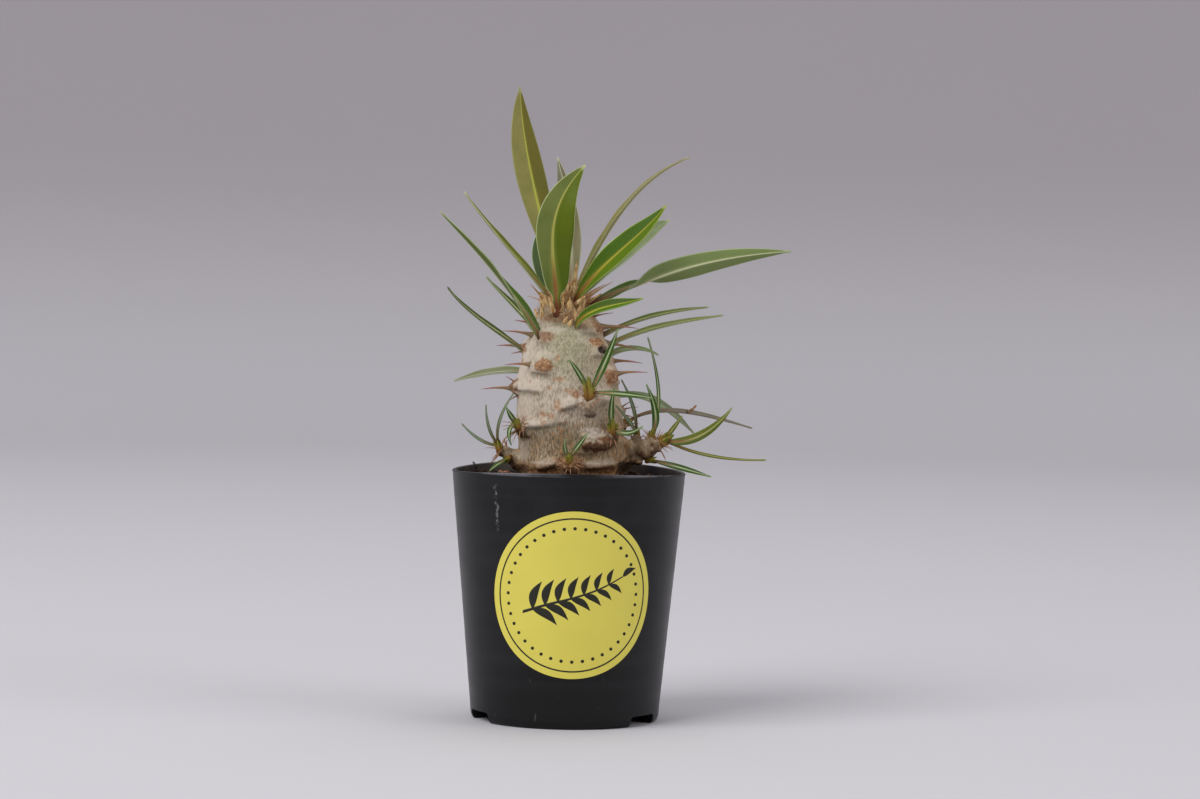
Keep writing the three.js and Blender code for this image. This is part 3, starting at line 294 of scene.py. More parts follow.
# Tufts of narrow leaves on the side shoots.
TUFTS = {
    "tuft_front_right": {
        "head": (7.1, -21.2, 118.4), "bud": (6.4, -23.2, 125.8), "radius": 1.7,
        "blades": (
            (((12.4, -22, 131), (16.6, -22, 142.4)), 2.8),
            (((3.2, -23.6, 126.4), (-0.5, -26, 131.5)), 2.0),
            (((19.2, -24.4, 119.6), (29.3, -25, 118.4)), 2.0),
        ),
    },
    "tuft_right": {
        "head": (15.6, -15.8, 105.8), "bud": (15.6, -17.4, 110.5), "radius": 1.6,
        "blades": (
            (((14.9, -17.4, 113), (15.8, -18, 121.5)), 2.2),
            (((20.6, -19, 105.4), (26.0, -20, 107.8)), 2.0),
        ),
    },
    "tuft_far_right": {
        "head": (33.2, -3.1, 101.6), "bud": (38, -4, 104.4), "radius": 1.8,
        "blades": (
            (((46.9, -8, 104.2), (58.3, -10, 114.5)), 3.4),
            (((37.4, -3.6, 106.4), (40.6, -4, 111.0)), 1.8),
            (((51, 0, 96.8), (71.4, 2, 95.4)), 1.2),
        ),
    },
    "tuft_far_right_upper": {
        "head": (29.7, -3, 103.6), "bud": (30.4, -3.2, 107), "radius": 1.2,
        "blades": (
            (((31.0, -4, 112), (27.6, -6, 122.3)), 2.7),
            (((32.2, 11, 119), (28.1, 20, 138.6)), 1.4),
        ),
    },
    "tuft_right_inner": {
        "head": (24.5, 2.9, 103.4), "bud": (23.8, 3.4, 106.4), "radius": 1.1,
        "blades": (
            (((21.6, -5.0, 108.8), (16.6, -11.6, 114.9)), 1.4),
            (((23.0, 1.4, 113.6), (18.6, -1.0, 123.6)), 1.4),
        ),
    },
    "tuft_far_right_low": {
        "head": (29.2, -3.6, 94.9), "bud": (32, -5, 95.0), "radius": 1.0,
        "blades": ((((40.6, -8, 92.6), (51.1, -10, 89.8)), 2.2),),
    },
    "tuft_left": {
        "head": (-25.4, -3.9, 98.3), "bud": (-26.4, -4.4, 101.6), "radius": 1.3,
        "blades": (
            (((-32.6, -5, 101.4), (-39.0, -6, 106.9)), 1.2),
            (((-29.2, -6, 105.6), (-30.4, -8, 114)), 1.2),
            (((-25.4, -5, 108.6), (-20.7, -6, 118.1)), 1.2),
        ),
    },
    "tuft_left_low": {
        "head": (-22.0, -6.4, 94.8), "bud": (-24.0, -9.6, 93.9), "radius": 0.9,
        "blades": ((((-25.8, -12.6, 92.8), (-28.2, -16.4, 90.9)), 1.8),),
    },
    "tuft_left_upper": {
        "head": (-18.7, -13.2, 107.3), "bud": (-19.8, -14.2, 110), "radius": 1.3,
        "blades": (
            (((-21.0, -15, 110.4), (-22.9, -16, 113.8)), 2.0),
            (((-21.6, -16.4, 105.2), (-20.9, -16.4, 100.5)), 1.6),
        ),
    },
    "tuft_front": {
        "head": (0.1, -22.2, 95.3), "bud": (0.1, -23, 98.4), "radius": 1.5,
        "blades": (
            (((-1.3, -23.6, 99.4), (-1.5, -24, 102.8)), 1.6),
            (((3.4, -23, 100.8), (6.4, -23, 105)), 1.8),
        ),
    },
    "tuft_right_behind": {
        "head": (19.9, 13.8, 107.4), "bud": (23.4, 16, 108.6), "radius": 1.5,
        "blades": ((((34.8, 21.8, 111.9), (51.0, 27.7, 110.0), (67.4, 32.0, 105.5)), 1.8),),
    },
}
# The blades of the tufts, as leaf_shape takes them.
BLADE = {"base": (0.05, -1, 0.35), "tip": (0.05, -1, 0.35), "skew": 0.8, "fullness": 0.7, "stalk": 1.2,
         "edge": 0.7, "rib": 0.9, "fold": 0.18, "tip_width": 0.6, "tip_length": 0.6, "stations": 40,
         "columns": 6, "wave": 0.05}
TUFT = {"root": 1.5, "first_blade": 0.9, "blade_step": 0.35}
TUFT_TONES = {
    "tuft_far_right": ("#66702A", "#505C12", "#7F8C60", "#AEAC6A", "#8C9448"),
    "tuft_left": ("#7C8A6C", "#74826A", "#8C9A80", "#94A284", "#8E9C7E"),
    "tuft_right_behind": ("#8A8272", "#7E7666", "#8A8272", "#9A9280", "#8E8676"),
    "tuft_right_inner": ("#66755A", "#5C6B50", "#7F8C70", "#8C9A78", "#84946E"),
}
COMMON_TUFT_TONES = ("#2C4610", "#32500C", "#66744C", "#B2C294", "#7E9A5C")

# Where the bark has shelves, steep underneath: from azimuth, to azimuth, height at each, rise.
SHELVES = (
    (-14, 14, 112.8, 116.2, 1.0), (8, 58, 116.2, 116.2, 1.5), (-64, -14, 106.0, 108.0, 1.3),
    (-40, 4, 107.2, 109.2, 0.55), (-44, -10, 91.8, 94.0, 1.5), (10, 58, 92.9, 93.3, 1.4),
    (-84, -22, 120.6, 119.6, 1.0), (-52, -14, 126.8, 126.4, 0.8), (30, 74, 133.0, 132.4, 1.1),
    (54, 104, 123.4, 122.4, 1.1), (10, 46, 100.4, 99.6, 1.4), (-30, 24, 145.4, 144.8, 0.6),
    (-20, 34, 98.0, 97.6, 0.4), (-52, -20, 137.6, 137.0, 0.7), (20, 60, 141.4, 140.4, 0.8),
)
# Brown scars: azimuth, height, half-width, half-height, rust, dark. The dark of the scar at azimuth 54 and
# height 134.8 fills the hollow where a leaf fell, and is painted shade.
SCARS = (
    (-27, 129.1, 3.0, 2.4, 1.0, 0.15), (-31, 139.4, 2.7, 1.8, 0.7, 0.2), (-78, 120.4, 2.8, 3.6, 1.0, 0.5),
    (59, 125.0, 3.0, 2.8, 1.0, 0.2), (47, 137.6, 2.6, 1.5, 1.0, 0.1), (54, 134.8, 2.3, 1.7, 0.2, 1.0),
    (28, 100.2, 5.6, 1.7, 1.0, 0.8), (40, 102.4, 3.4, 1.6, 1.0, 0.5), (-11, 131.8, 0.9, 1.3, 0.55, 0.0),
    (-10, 124.3, 2.2, 0.8, 0.55, 0.0), (4, 120.0, 2.2, 0.9, 0.55, 0.0), (-20, 121.0, 0.8, 0.8, 0.55, 0.0),
    (8, 118.8, 1.5, 1.0, 0.9, 0.1), (-12, 115.2, 1.2, 1.8, 0.55, 0.0), (-8, 113.4, 1.3, 0.9, 0.55, 0.0),
    (-29, 111.6, 1.3, 1.3, 0.55, 0.0), (-20, 111.0, 0.9, 0.9, 0.55, 0.0), (-27, 108.5, 1.0, 0.9, 0.55, 0.0),
    (-10, 105.7, 0.8, 0.8, 0.55, 0.0), (0, 92.6, 5.0, 2.4, 1.0, 0.5), (-30, 90.8, 9.0, 1.4, 1.0, 0.4),
    (34, 91.6, 9.0, 1.2, 1.0, 0.5), (-66, 91.6, 4.0, 1.8, 0.7, 0.7), (74, 92.0, 5.0, 2.8, 0.5, 1.0),
    (-52, 103.2, 1.0, 1.2, 0.5, 0.7), (23, 111.4, 2.6, 0.9, 0.0, 0.75), (66, 142.6, 2.4, 1.8, 0.9, 0.4),
    (-78, 134.6, 2.2, 1.8, 0.9, 0.3), (94, 130.0, 2.0, 1.8, 0.9, 0.3), (114, 111.6, 2.4, 2.0, 0.9, 0.4),
    (34, 143.0, 3.0, 1.0, 0.3, 0.2), (-16, 146.0, 5.0, 1.4, 0.5, 0.45), (10, 146.4, 3.0, 1.2, 0.6, 0.3),
)
# Pale places: azimuth, height, half-width, half-height, strength. Most are pale cork; the thin ones along the
# crests of the shelves are painted highlights.
PALE_PLACES = (
    (24, 105.0, 4.0, 1.8, 1.0), (36, 105.2, 3.0, 1.4, 0.7), (-66, 126, 6.0, 8.0, 0.7),
    (-58, 114, 5.0, 7.0, 0.5), (-28, 93.9, 8.0, 0.5, 1.0), (32, 94.3, 9.0, 0.5, 0.9),
    (14, 117.6, 6.0, 1.4, 0.7), (-64, 98.0, 4.0, 4.0, 0.7), (-38, 108.2, 7.0, 1.1, 1.0),
    (46, 119.0, 4.0, 4.0, 0.6), (-44, 122.6, 6.0, 1.2, 0.7), (-20, 141.8, 4.0, 1.4, 0.6),
    (-30, 132.6, 5.0, 1.4, 0.5), (56, 128.6, 3.0, 1.0, 0.6), (34, 139.6, 4.0, 2.4, 0.4),
)
# Small knobs of cork ring the scars of the spine pairs: azimuth, height, spread, knob radius, count.
KNOB_RINGS = (
    (-27, 128.9, 2.3, 1.0, 8), (-31, 139.6, 1.9, 0.75, 7), (-76, 120.2, 2.6, 0.9, 9),
    (59, 125.4, 2.6, 1.0, 9), (48, 137.4, 2.0, 0.75, 7), (66, 142.8, 1.6, 0.8, 5),
    (-80, 135.0, 1.4, 0.7, 5), (96, 130.2, 1.6, 0.8, 5), (113, 111.8, 2.0, 0.9, 6),
    (-4, 92.6, 2.8, 0.8, 9), (42, 103.2, 2.4, 0.9, 8), (-52, 104.6, 1.8, 0.8, 6),
    (22, 100.2, 3.0, 0.8, 7), (-14, 146.4, 3.6, 0.5, 8), (-26, 112.0, 1.6, 0.35, 5),
)
# A knobbly pale place on the right of the front, and a dark hollow where a leaf fell at the upper right:
# azimuth, height, half-width, half-height, strength.
KNOBBLY_PLACE = (26, 104.6, 5.0, 2.6, 1.0)
HOLLOW = (54, 134.9, 2.2, 1.8, 1.0)
HOLLOW_DEPTH = 1.7
# Small flecks of rust: the azimuths, heights, half-widths and half-heights they lie between, how strong
# they are, and how many.
FLECKS = (
    ((75, 285), (98, 136), (0.6, 1.7), (0.5, 1.3), 0.7, 44),
    ((-70, 70), (97, 128), (0.4, 0.8), (0.4, 0.8), 0.45, 26),
)
# What the bark's mesh tells its material at each point.
BARK_VALUES = ("rust", "dark", "dusk", "pale", "low", "green", "under", "woody", "crack", "warm", "crown",
               "wool")
# Papery scales in the crown, a row at a time: how many, height, length, and how far they lean out.
BRACT_ROWS = ((9, 145.2, 5.2, 0.12), (9, 147.4, 6.0, 0.22), (8, 149.8, 6.6, 0.2), (7, 152.2, 6.4, 0.1))
BRACT = {"turn": 0.3, "width": (2.8, 4.8), "length": (0.7, 1.3), "height": (-0.8, 0.8),
         "sideways": (-0.4, 0.4), "lean": (0, 0.3)}
# No scale hides the foot of the broad leaf: its azimuth, and the half-angle kept free low down and above.
FREE_PLACE = {"azimuth": -28, "low": 18, "high": 26, "above": 149}
# The cup of scales that holds the small leaf at the front: azimuth, height, and lean to the right.
CUP = ((0, 143.0, 0.6), (10, 142.2, 0.5), (24, 142.2, -0.1))
CUP_SCALE = {"length": 4.6, "wide": 2.8, "splay": 0.3}
STIPULE = {"place": 0.06, "above": 147, "aside": 1.2, "sunk": 2.6, "length": 6.0, "spread": 1.6,
           "radius": 1.0}
HAIRS = {"count": 420, "heights": (146, 155), "length": (1.2, 3.4), "radii": (0.07, 0.055, 0.02)}


def outward(azimuth):
    """The level unit vector that an azimuth points along."""
    angle = np.radians(azimuth)
    return np.stack([np.sin(angle), -np.cos(angle), np.zeros_like(angle)], -1)


def unit(vectors):
    vectors = np.asarray(vectors, float)
    return vectors / np.linalg.norm(vectors, axis=-1, keepdims=True)


def ease(low, high, value):
    """0 below low, 1 above high and smooth between them."""
    share = np.clip((np.asarray(value, float) - low) / (high - low), 0, 1)
    return share * share * (3 - 2 * share)


def linear(code):
    """A hex colour of the sRGB screen as linear red, green, blue and alpha."""
    channels = [int(code[i:i + 2], 16) / 255 for i in (1, 3, 5)]
    return (*(c / 12.92 if c <= 0.04045 else ((c + 0.055) / 1.055) ** 2.4 for c in channels), 1.0)


def waver(points, size, offset=0.0):
    """Smooth noise from -1 to 1, its features about a size wide. A size may be one for each axis."""
    scaled = np.asarray(points, float) / size + offset
    return np.array([noise.noise(Vector(place)) for place in scaled])


def spline(points, shares):
    """Places on the smooth curve through a list of points, at shares of it."""
    given = np.array(points, float)
    padded = np.vstack([2 * given[0] - given[1], given, 2 * given[-1] - given[-2]])
    place = np.clip(shares, 0, 1) * (len(given) - 1)
    first = np.minimum(place.astype(int), len(given) - 2)
    t = (place - first)[:, None]
    a, b, c, d = (padded[first + i] for i in range(4))
    return 0.5 * (2 * b + (c - a) * t + (2 * a - 5 * b + 4 * c - d) * t**2 + (3 * b - a - 3 * c + d) * t**3)


def bow(points, shares):
    """Places and directions on the curve through three or four evenly spread points."""
    given = np.array(points, float)
    knots = np.linspace(0, 1, len(given))
    degree = len(given) - 1
    factors = [np.polyfit(knots, given[:, axis], degree) for axis in range(3)]
    places = np.stack([np.polyval(f, shares) for f in factors], 1)
    ways = np.stack([np.polyval(np.polyder(f), shares) for f in factors], 1)
    return places, unit(ways)


class Shape:
    """Points in millimetres with faces, and with named values at each point."""

    def __init__(self, points, quads=(), triangles=(), **values):
        self.points = np.asarray(points, float).reshape(-1, 3)
        self.quads = np.asarray(quads, int).reshape(-1, 4)
        self.triangles = np.asarray(triangles, int).reshape(-1, 3)
        self.values = {name: np.zeros(len(self.points)) + value for name, value in values.items()}

    def volume(self):
        corners = [self.triangles]
        for order in ((0, 1, 2), (0, 2, 3)):
            corners.append(self.quads[:, order])
        a, b, c = (self.points[np.vstack(corners)[:, i]] for i in range(3))
        return float(np.einsum("ij,ij->i", a, np.cross(b, c)).sum() / 6)

    def faced_out(self):
        if self.volume() < 0:
            self.quads = self.quads[:, ::-1]
            self.triangles = self.triangles[:, ::-1]
        return self


def joined(shapes):
    """Several shapes as one."""
    starts = np.cumsum([0] + [len(shape.points) for shape in shapes])
    names = shapes[0].values
    return Shape(
        np.vstack([shape.points for shape in shapes]),
        np.vstack([shape.quads + start for shape, start in zip(shapes, starts)]),
        np.vstack([shape.triangles + start for shape, start in zip(shapes, starts)]),
        **{name: np.concatenate([shape.values[name] for shape in shapes]) for name in names},
    )


def skin(rings, start, end, **values):
    """A closed shape over rings of points, with a point at the middle of each end."""
    count, sides = rings.shape[:2]
    ring, side = np.meshgrid(np.arange(count - 1), np.arange(sides), indexing="ij")
    here = (ring * sides + side).ravel()
    beside = (ring * sides + (side + 1) % sides).ravel()
    around = np.arange(sides)
    after = (around + 1) % sides
    last = (count - 1) * sides
    caps = [
        np.stack([np.full(sides, count * sides), after, around], 1),
        np.stack([np.full(sides, count * sides + 1), last + around, last + after], 1),
    ]
    spread = {}
    for name, value in values.items():
        table = np.broadcast_to(value if np.ndim(value) == 2 else np.reshape(value, (-1, 1)), (count, sides))
        spread[name] = np.concatenate([table.ravel(), [table[0].mean(), table[-1].mean()]])
    return Shape(
        np.vstack([rings.reshape(-1, 3), start, end]),
        np.stack([here, beside, beside + sides, here + sides], 1),
        np.vstack(caps),
        **spread,
    ).faced_out()


def frames_along(ways):
    """Two directions square to each way, turning as little as they can from one to the next."""
    across = [unit(np.cross(ways[0], (0.31, 1, 0.17)))]
    for way in ways[1:]:
        across.append(unit(across[-1] - way * np.dot(across[-1], way)))
    across = np.array(across)
    return across, np.cross(ways, across)


def tube(places, radii, sides, ripple=None, **values):
    """A closed round shape along places, its radius given at each and changed by a ripple."""
    places = np.asarray(places, float)
    ways = unit(np.gradient(places, axis=0))
    across, other = frames_along(ways)
    angle = np.arange(sides) * TAU / sides
    reach = np.broadcast_to(np.reshape(radii, (-1, 1)), (len(places), sides))
    if ripple is not None:
        reach = reach * ripple
    rings = (
        places[:, None]
        + across[:, None] * (np.cos(angle) * reach)[..., None]
        + other[:, None] * (np.sin(angle) * reach)[..., None]
    )
    return skin(rings, places[0], places[-1] + ways[-1] * reach[-1].mean() * 0.5, **values)


def ball(fineness):
    """The points and triangles of a round ball of radius 1."""
    mesh = bmesh.new()
    bmesh.ops.create_icosphere(mesh, subdivisions=fineness, radius=1)
    points = np.array([v.co for v in mesh.verts])
    triangles = np.array([[v.index for v in f.verts] for f in mesh.faces])
    mesh.free()
    return points, triangles


def mesh_of(name, shape):
    """A shape as a mesh in metres, with its values as attributes."""
    mesh = bpy.data.meshes.new(name)
    mesh.from_pydata((shape.points * MM).tolist(), [], shape.quads.tolist() + shape.triangles.tolist())
    for key, value in shape.values.items():
        mesh.attributes.new(key, "FLOAT", "POINT").data.foreach_set("value", value.astype(np.float32))
    mesh.shade_smooth()
    mesh.update()
    return mesh


def piece(name, shape, material, slot, *nodes, sharp=None):
    """A finished piece that rides on the body and stands for nodes of the frame."""
    made = bpy.data.objects.new(name, mesh_of(name, shape))
    bpy.context.scene.collection.objects.link(made)
    made.data.materials.append(material)
    if sharp is not None:
        made.data.set_sharp_from_angle(angle=math.radians(sharp))
    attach(made, BODY)
    if nodes:
        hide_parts(*nodes)


def worked(shape, *modifiers):
    """A shape after modifiers, each given as its kind and its settings."""
    holder = bpy.data.objects.new("worked", mesh_of("worked", shape))
    bpy.context.scene.collection.objects.link(holder)
    for kind, settings in modifiers:
        modifier = holder.modifiers.new(kind, kind)
        for name, value in settings.items():
            setattr(modifier, name, value)
    bpy.context.view_layer.update()
    made = holder.evaluated_get(bpy.context.evaluated_depsgraph_get()).to_mesh()
    points = np.zeros(len(made.vertices) * 3, np.float32)
    made.vertices.foreach_get("co", points)
    normals = np.zeros(len(made.vertices) * 3, np.float32)
    made.vertex_normals.foreach_get("vector", normals)
    quads = [tuple(f.vertices) for f in made.polygons if len(f.vertices) == 4]
    triangles = []
    for face in made.polygons:
        corners = tuple(face.vertices)
        if len(corners) != 4:
            triangles += [(corners[0], corners[i], corners[i + 1]) for i in range(1, len(corners) - 1)]
    result = Shape(points.reshape(-1, 3) / MM, quads, triangles)
    holder.to_mesh_clear()
    old = holder.data
    bpy.data.objects.remove(holder)
    bpy.data.meshes.remove(old)
    return result, normals.reshape(-1, 3)


# The setting that may follow a node's kind after a colon.
MAIN_SETTING = {
    "Math": "operation", "VectorMath": "operation", "MapRange": "interpolation_type", "Mix": "data_type",
    "Attribute": "attribute_name",
}


def feed(node, inputs):
    """Set a node's inputs, each found by its name or number, or link them to other nodes' outputs."""
    for name, value in inputs.items():
        if isinstance(value, bpy.types.NodeSocket):
            node.id_data.links.new(value, node.inputs[name])
        else:
            node.inputs[name].default_value = value


def spaced(named):
    """Inputs named in Python's way, under their own names."""
    return {name.replace("_", " "): value for name, value in named.items()}


def add_node(tree, kind, *inputs, out=None, stops=(), **named):
    """An output of a new node: the first that it uses, or the one that is asked for. Its kind may carry a
    setting after a colon, its inputs go to the sockets that it uses in order, or by name, and a colour
    ramp has stops."""
    kind, _, setting = kind.partition(":")
    node = tree.nodes.new("ShaderNode" + kind)
    if setting:
        setattr(node, MAIN_SETTING[kind], setting)
    used = [number for number, socket in enumerate(node.inputs) if socket.enabled]
    feed(node, dict(zip(used, inputs)))
    feed(node, spaced(named))
    for i, (place, code) in enumerate(stops):
        ramp = node.color_ramp.elements
        stop = ramp[i] if i < 2 else ramp.new(place)
        stop.position = place
        stop.color = linear(code)
    return node.outputs[out] if out else next(socket for socket in node.outputs if socket.enabled)


def surface(name, **constants):
    """A new material, its shader with constants on its own sockets, and what adds nodes beside it."""
    material = bpy.data.materials.new(name)
    material.use_nodes = True
    shader = material.node_tree.nodes["Principled BSDF"]
    feed(shader, spaced(constants))
    return material, shader, partial(add_node, material.node_tree)


def coated(add, colour, *coats):
    """A colour under further coats, each with where it lies, how much it covers there and its colour."""
    for place, cover, coat in coats:
        share = add("Math:MULTIPLY", place, cover)
        colour = add("Mix:RGBA", share, colour, linear(coat) if isinstance(coat, str) else coat)
    return colour


def per(size):
    """How often a pattern of a real size in millimetres repeats in a metre."""
    return 1 / (size * MM)


# The settings that all colours share, and those of all lengths.
COLOUR = {"subtype": "COLOR", "size": 4, "min": 0, "max": 1}
LENGTH = {"unit": "LENGTH", "precision": 5}


class PotLooks(bpy.types.PropertyGroup):
    rim_radius: FloatProperty(
        name="Rim radius", description="Outer radius of the pot's rim", default=POT["rim_radius"] * MM, **LENGTH)
    height: FloatProperty(
        name="Height", description="Height of the pot", default=POT["height"] * MM, **LENGTH)
    plastic: FloatVectorProperty(
        name="Plastic", description="Colour of the moulded wall", default=linear("#0C0C0D"), **COLOUR)
    worn: FloatVectorProperty(
        name="Worn plastic", description="Colour of scuffs and of the rubbed lip",
        default=linear("#8A888E"), **COLOUR)


class LabelLooks(bpy.types.PropertyGroup):
    radius: FloatProperty(
        name="Radius", description="Radius of the round sticker", default=LABEL["radius"] * MM, **LENGTH)
    film: FloatVectorProperty(
        name="Film", description="Colour of the sticker", default=linear("#E2D65C"), **COLOUR)
    ink: FloatVectorProperty(
        name="Ink", description="Colour of the print", default=linear("#26261D"), **COLOUR)


class SoilLooks(bpy.types.PropertyGroup):
    grains: IntProperty(name="Grains", description="How many grains lie on top", default=1150, min=0)
    grain: FloatProperty(
        name="Grain size", description="Radius of a middling grain", default=0.95 * MM, **LENGTH)


class BarkLooks(bpy.types.PropertyGroup):
    voxel: FloatProperty(
        name="Detail", description="Spacing of the points on the bark", default=0.42 * MM, **LENGTH)
    cream: FloatVectorProperty(
        name="Cork", description="Colour of dry cork", default=linear("#CCBEAB"), **COLOUR)
    green: FloatVectorProperty(
        name="Young skin", description="Colour where green skin shows through",
        default=linear("#AEA88A"), **COLOUR)
    rust: FloatVectorProperty(
        name="Rust", description="Colour of small corky scars", default=linear("#B37A48"), **COLOUR)


class LeafLooks(bpy.types.PropertyGroup):
    stations: IntProperty(name="Stations", description="Sections along each leaf", default=56, min=8)
    vein_spacing: FloatProperty(
        name="Vein spacing", description="Distance between side veins", default=1.15 * MM, **LENGTH)
    petiole: FloatVectorProperty(
        name="Leaf stalk", description="Colour of the stalk where it leaves the crown",
        default=linear("#5C261C"), **COLOUR)


class StageLooks(bpy.types.PropertyGroup):
    board: FloatVectorProperty(
        name="Board", description="Colour of the floor and the wall", default=linear("#CECCD0"), **COLOUR)
    far_board: FloatVectorProperty(
        name="Far board", description="Colour of the wall high up", default=linear("#B5B0B4"), **COLOUR)
    key_power: FloatProperty(name="Key light", description="Power of the light at the left", default=58.0)
    fill_power: FloatProperty(name="Fill light", description="Power of the light at the right", default=16.0)
    top_power: FloatProperty(name="Top light", description="Power of the light overhead", default=18.0)


LOOKS = {
    "pot_looks": PotLooks, "label_looks": LabelLooks, "soil_looks": SoilLooks, "bark_looks": BarkLooks,
    "leaf_looks": LeafLooks, "stage_looks": StageLooks,
}


def wall_radius(height):
    """The pot's outer radius at a height, on its straight flared wall."""
    looks = bpy.context.scene.pot_looks
    rim, top = round(looks.rim_radius / MM, 4), round(looks.height / MM, 4)
    share = (height - POT["corner_height"]) / (top - POT["corner_height"])
    return POT["wall_foot_radius"] + share * (rim - POT["wall_foot_radius"])


def injection_moulded_polypropylene():
    """Black polypropylene from a polished but tired mould: satin, with faint rings where the melt
    slowed, rubbed grey on the lip and marked by one white scuff from handling."""
    looks = bpy.context.scene.pot_looks
    material, shader, add = surface("injection_moulded_polypropylene", Specular_IOR_Level=0.27)
    place = add("TexCoord", out="Object")
    x, y, z = (add("SeparateXYZ", place, out=axis) for axis in "XYZ")
    # Rings of slightly different gloss, 3 to 9 mm apart up the wall.
    level = add("CombineXYZ", Z=add("Math:MULTIPLY", z, per(7)))
    rings = add("TexNoise", Vector=level, Scale=1.0, Detail=3.0)
    grain = add("TexNoise", Vector=place, Scale=per(1.2), Detail=4.0)
    cloud = add("TexNoise", Vector=place, Scale=per(18), Detail=3.0)
    # A wavy upright scuff, broken up by the grain.
    around = add("Math:ARCTAN2", x, add("Math:MULTIPLY", y, -1.0))
    across = add("Math:ADD", around, math.radians(-SCUFF["azimuth"]))
    across = add("Math:MULTIPLY", across, SCUFF["wall_radius"] * MM)
    wiggle = add("TexNoise", Vector=level, Scale=2.1, Detail=2.0)
    wander = SCUFF["wander"] * MM
    drift = add("Math:MULTIPLY_ADD", wiggle, wander, -wander / 2)
    away = add("Math:ABSOLUTE", add("Math:SUBTRACT", across, drift))
    line = add("MapRange:SMOOTHSTEP", away, SCUFF["core"] * MM, SCUFF["edge"] * MM, 1.0, 0.0)
    (start, full), (fading, end) = ((low * MM, high * MM) for low, high in (SCUFF["start"], SCUFF["end"]))
    below = add("MapRange:SMOOTHSTEP", z, fading, end, 1.0, 0.0)
    span = add("Math:MULTIPLY", add("MapRange:SMOOTHSTEP", z, start, full), below)
    flecks = add("MapRange:SMOOTHSTEP", grain, 0.42, 0.6)
    scuff = add("Math:MULTIPLY", add("Math:MULTIPLY", line, span), flecks)
    # The lip is rubbed grey, partly wear and partly a painted highlight, and the foot has short scratches.
    lip = add("MapRange:SMOOTHSTEP", z, 0.0902, 0.0908)
    lip = add("Math:MULTIPLY", lip, add("MapRange:SMOOTHSTEP", cloud, 0.3, 0.6))
    scratch_place = add("Mapping", Vector=place, Scale=(900, 900, 140))
    scratches = add("TexNoise", Vector=scratch_place, Scale=1.0, Detail=2.0)
    foot = add("MapRange:SMOOTHSTEP", scratches, 0.7, 0.76)
    foot = add("Math:MULTIPLY", foot, add("MapRange:SMOOTHSTEP", z, 0.008, 0.024, 1.0, 0.0))
    # The rings are faintly greyer too.
    marks = add("MapRange:SMOOTHSTEP", rings, 0.45, 0.62)
    worn = add("Math:MULTIPLY", scuff, 0.6)
    for mark, strength in ((lip, 0.5), (foot, 0.25), (marks, 0.018)):
        worn = add("Math:MAXIMUM", worn, add("Math:MULTIPLY", mark, strength))
    # Patchy grey that grows towards the top of the wall.
    greyer_upward = add("Math:MULTIPLY", add("MapRange:SMOOTHSTEP", cloud, 0.35, 0.8), z)
    # Soil dust clings to the inside of the wall above the soil.
    facing = add("VectorMath:DOT_PRODUCT", add("NewGeometry", out="Normal"), add("CombineXYZ", x, y))
    inside = add("MapRange:SMOOTHSTEP", z, 0.07, 0.09)
    inside = add("Math:MULTIPLY", add("Math:LESS_THAN", facing, -0.01), inside)
    soiled = add("Math:MULTIPLY_ADD", add("MapRange:SMOOTHSTEP", cloud, 0.3, 0.65), 0.5, 0.15)
    colour = coated(
        add, tuple(looks.plastic), (greyer_upward, 0.9, "#55535A"), (worn, 1, tuple(looks.worn)),
        (inside, soiled, "#6A6258"),
    )
    roughness = add("Math:MULTIPLY_ADD", rings, 0.2, 0.26)
    roughness = add("Math:ADD", roughness, add("Math:MULTIPLY", worn, 0.25))
    relief = add("Math:ADD", add("Math:MULTIPLY", rings, 3.0), add("Math:MULTIPLY", grain, 0.3))
    bump = add("Bump", Height=relief, Strength=0.25, Distance=0.00006)
    feed(shader, {"Base Color": colour, "Roughness": roughness, "Normal": bump})
    return material


def pot_profile():
    """Radius and height pairs of the pot's half section, with a rounded lip."""
    wall, lip, top = POT["wall"], POT_FINISH["lip"], round(bpy.context.scene.pot_looks.height / MM, 4)
    corner_top = POT["plate_top"] + POT["inner_corner"]
    ring_inside, foot_edge = POT["foot_ring_inside"], POT_FINISH["foot_edge"]
    points = [(0, POT["plate_bottom"])]
    points.append((ring_inside - POT["foot_ring_slope"], POT["plate_bottom"]))
    points.append((ring_inside, foot_edge))
    points.append((ring_inside + foot_edge, 0))
    for angle in np.linspace(0, math.pi / 2, 7):
        wide = POT["wall_foot_radius"] - POT["foot_radius"]
        points.append((
            POT["foot_radius"] + wide * math.sin(angle),
            POT["corner_height"] * (1 - math.cos(angle)),
        ))
    # A shallow line runs below the lip, whose two corners are softly rounded.
    for height in np.linspace(POT["corner_height"], top - lip, POT_FINISH["wall_rows"])[1:]:
        ripple = POT_FINISH["wave"] * math.sin(height * 0.71) * math.sin(height * 0.23 + 1)
        below = (top - POT_FINISH["line_below"] - height) / POT_FINISH["line_width"]
        line = POT_FINISH["line_depth"] * math.exp(-(below**2))
        points.append((wall_radius(height) - POT_FINISH["inset"] + ripple - line, height))
    outer = wall_radius(top) - lip
    for middle, turn in ((outer, 0), (outer - wall + 2 * lip, 90)):
        for angle in np.radians(np.linspace(turn, turn + 90, 5)):
            points.append((middle + lip * math.cos(angle), top - lip + lip * math.sin(angle)))
    for height in np.linspace(top - lip, corner_top, 14)[1:]:
        points.append((wall_radius(height) - wall, height))
    for angle in np.linspace(0, math.pi / 2, 5)[1:]:
        points.append((
            wall_radius(corner_top) - wall - POT["inner_corner"] * (1 - math.cos(angle)),
            corner_top - POT["inner_corner"] * math.sin(angle),
        ))
    points.append((0, POT["plate_top"]))
    return np.array(points)


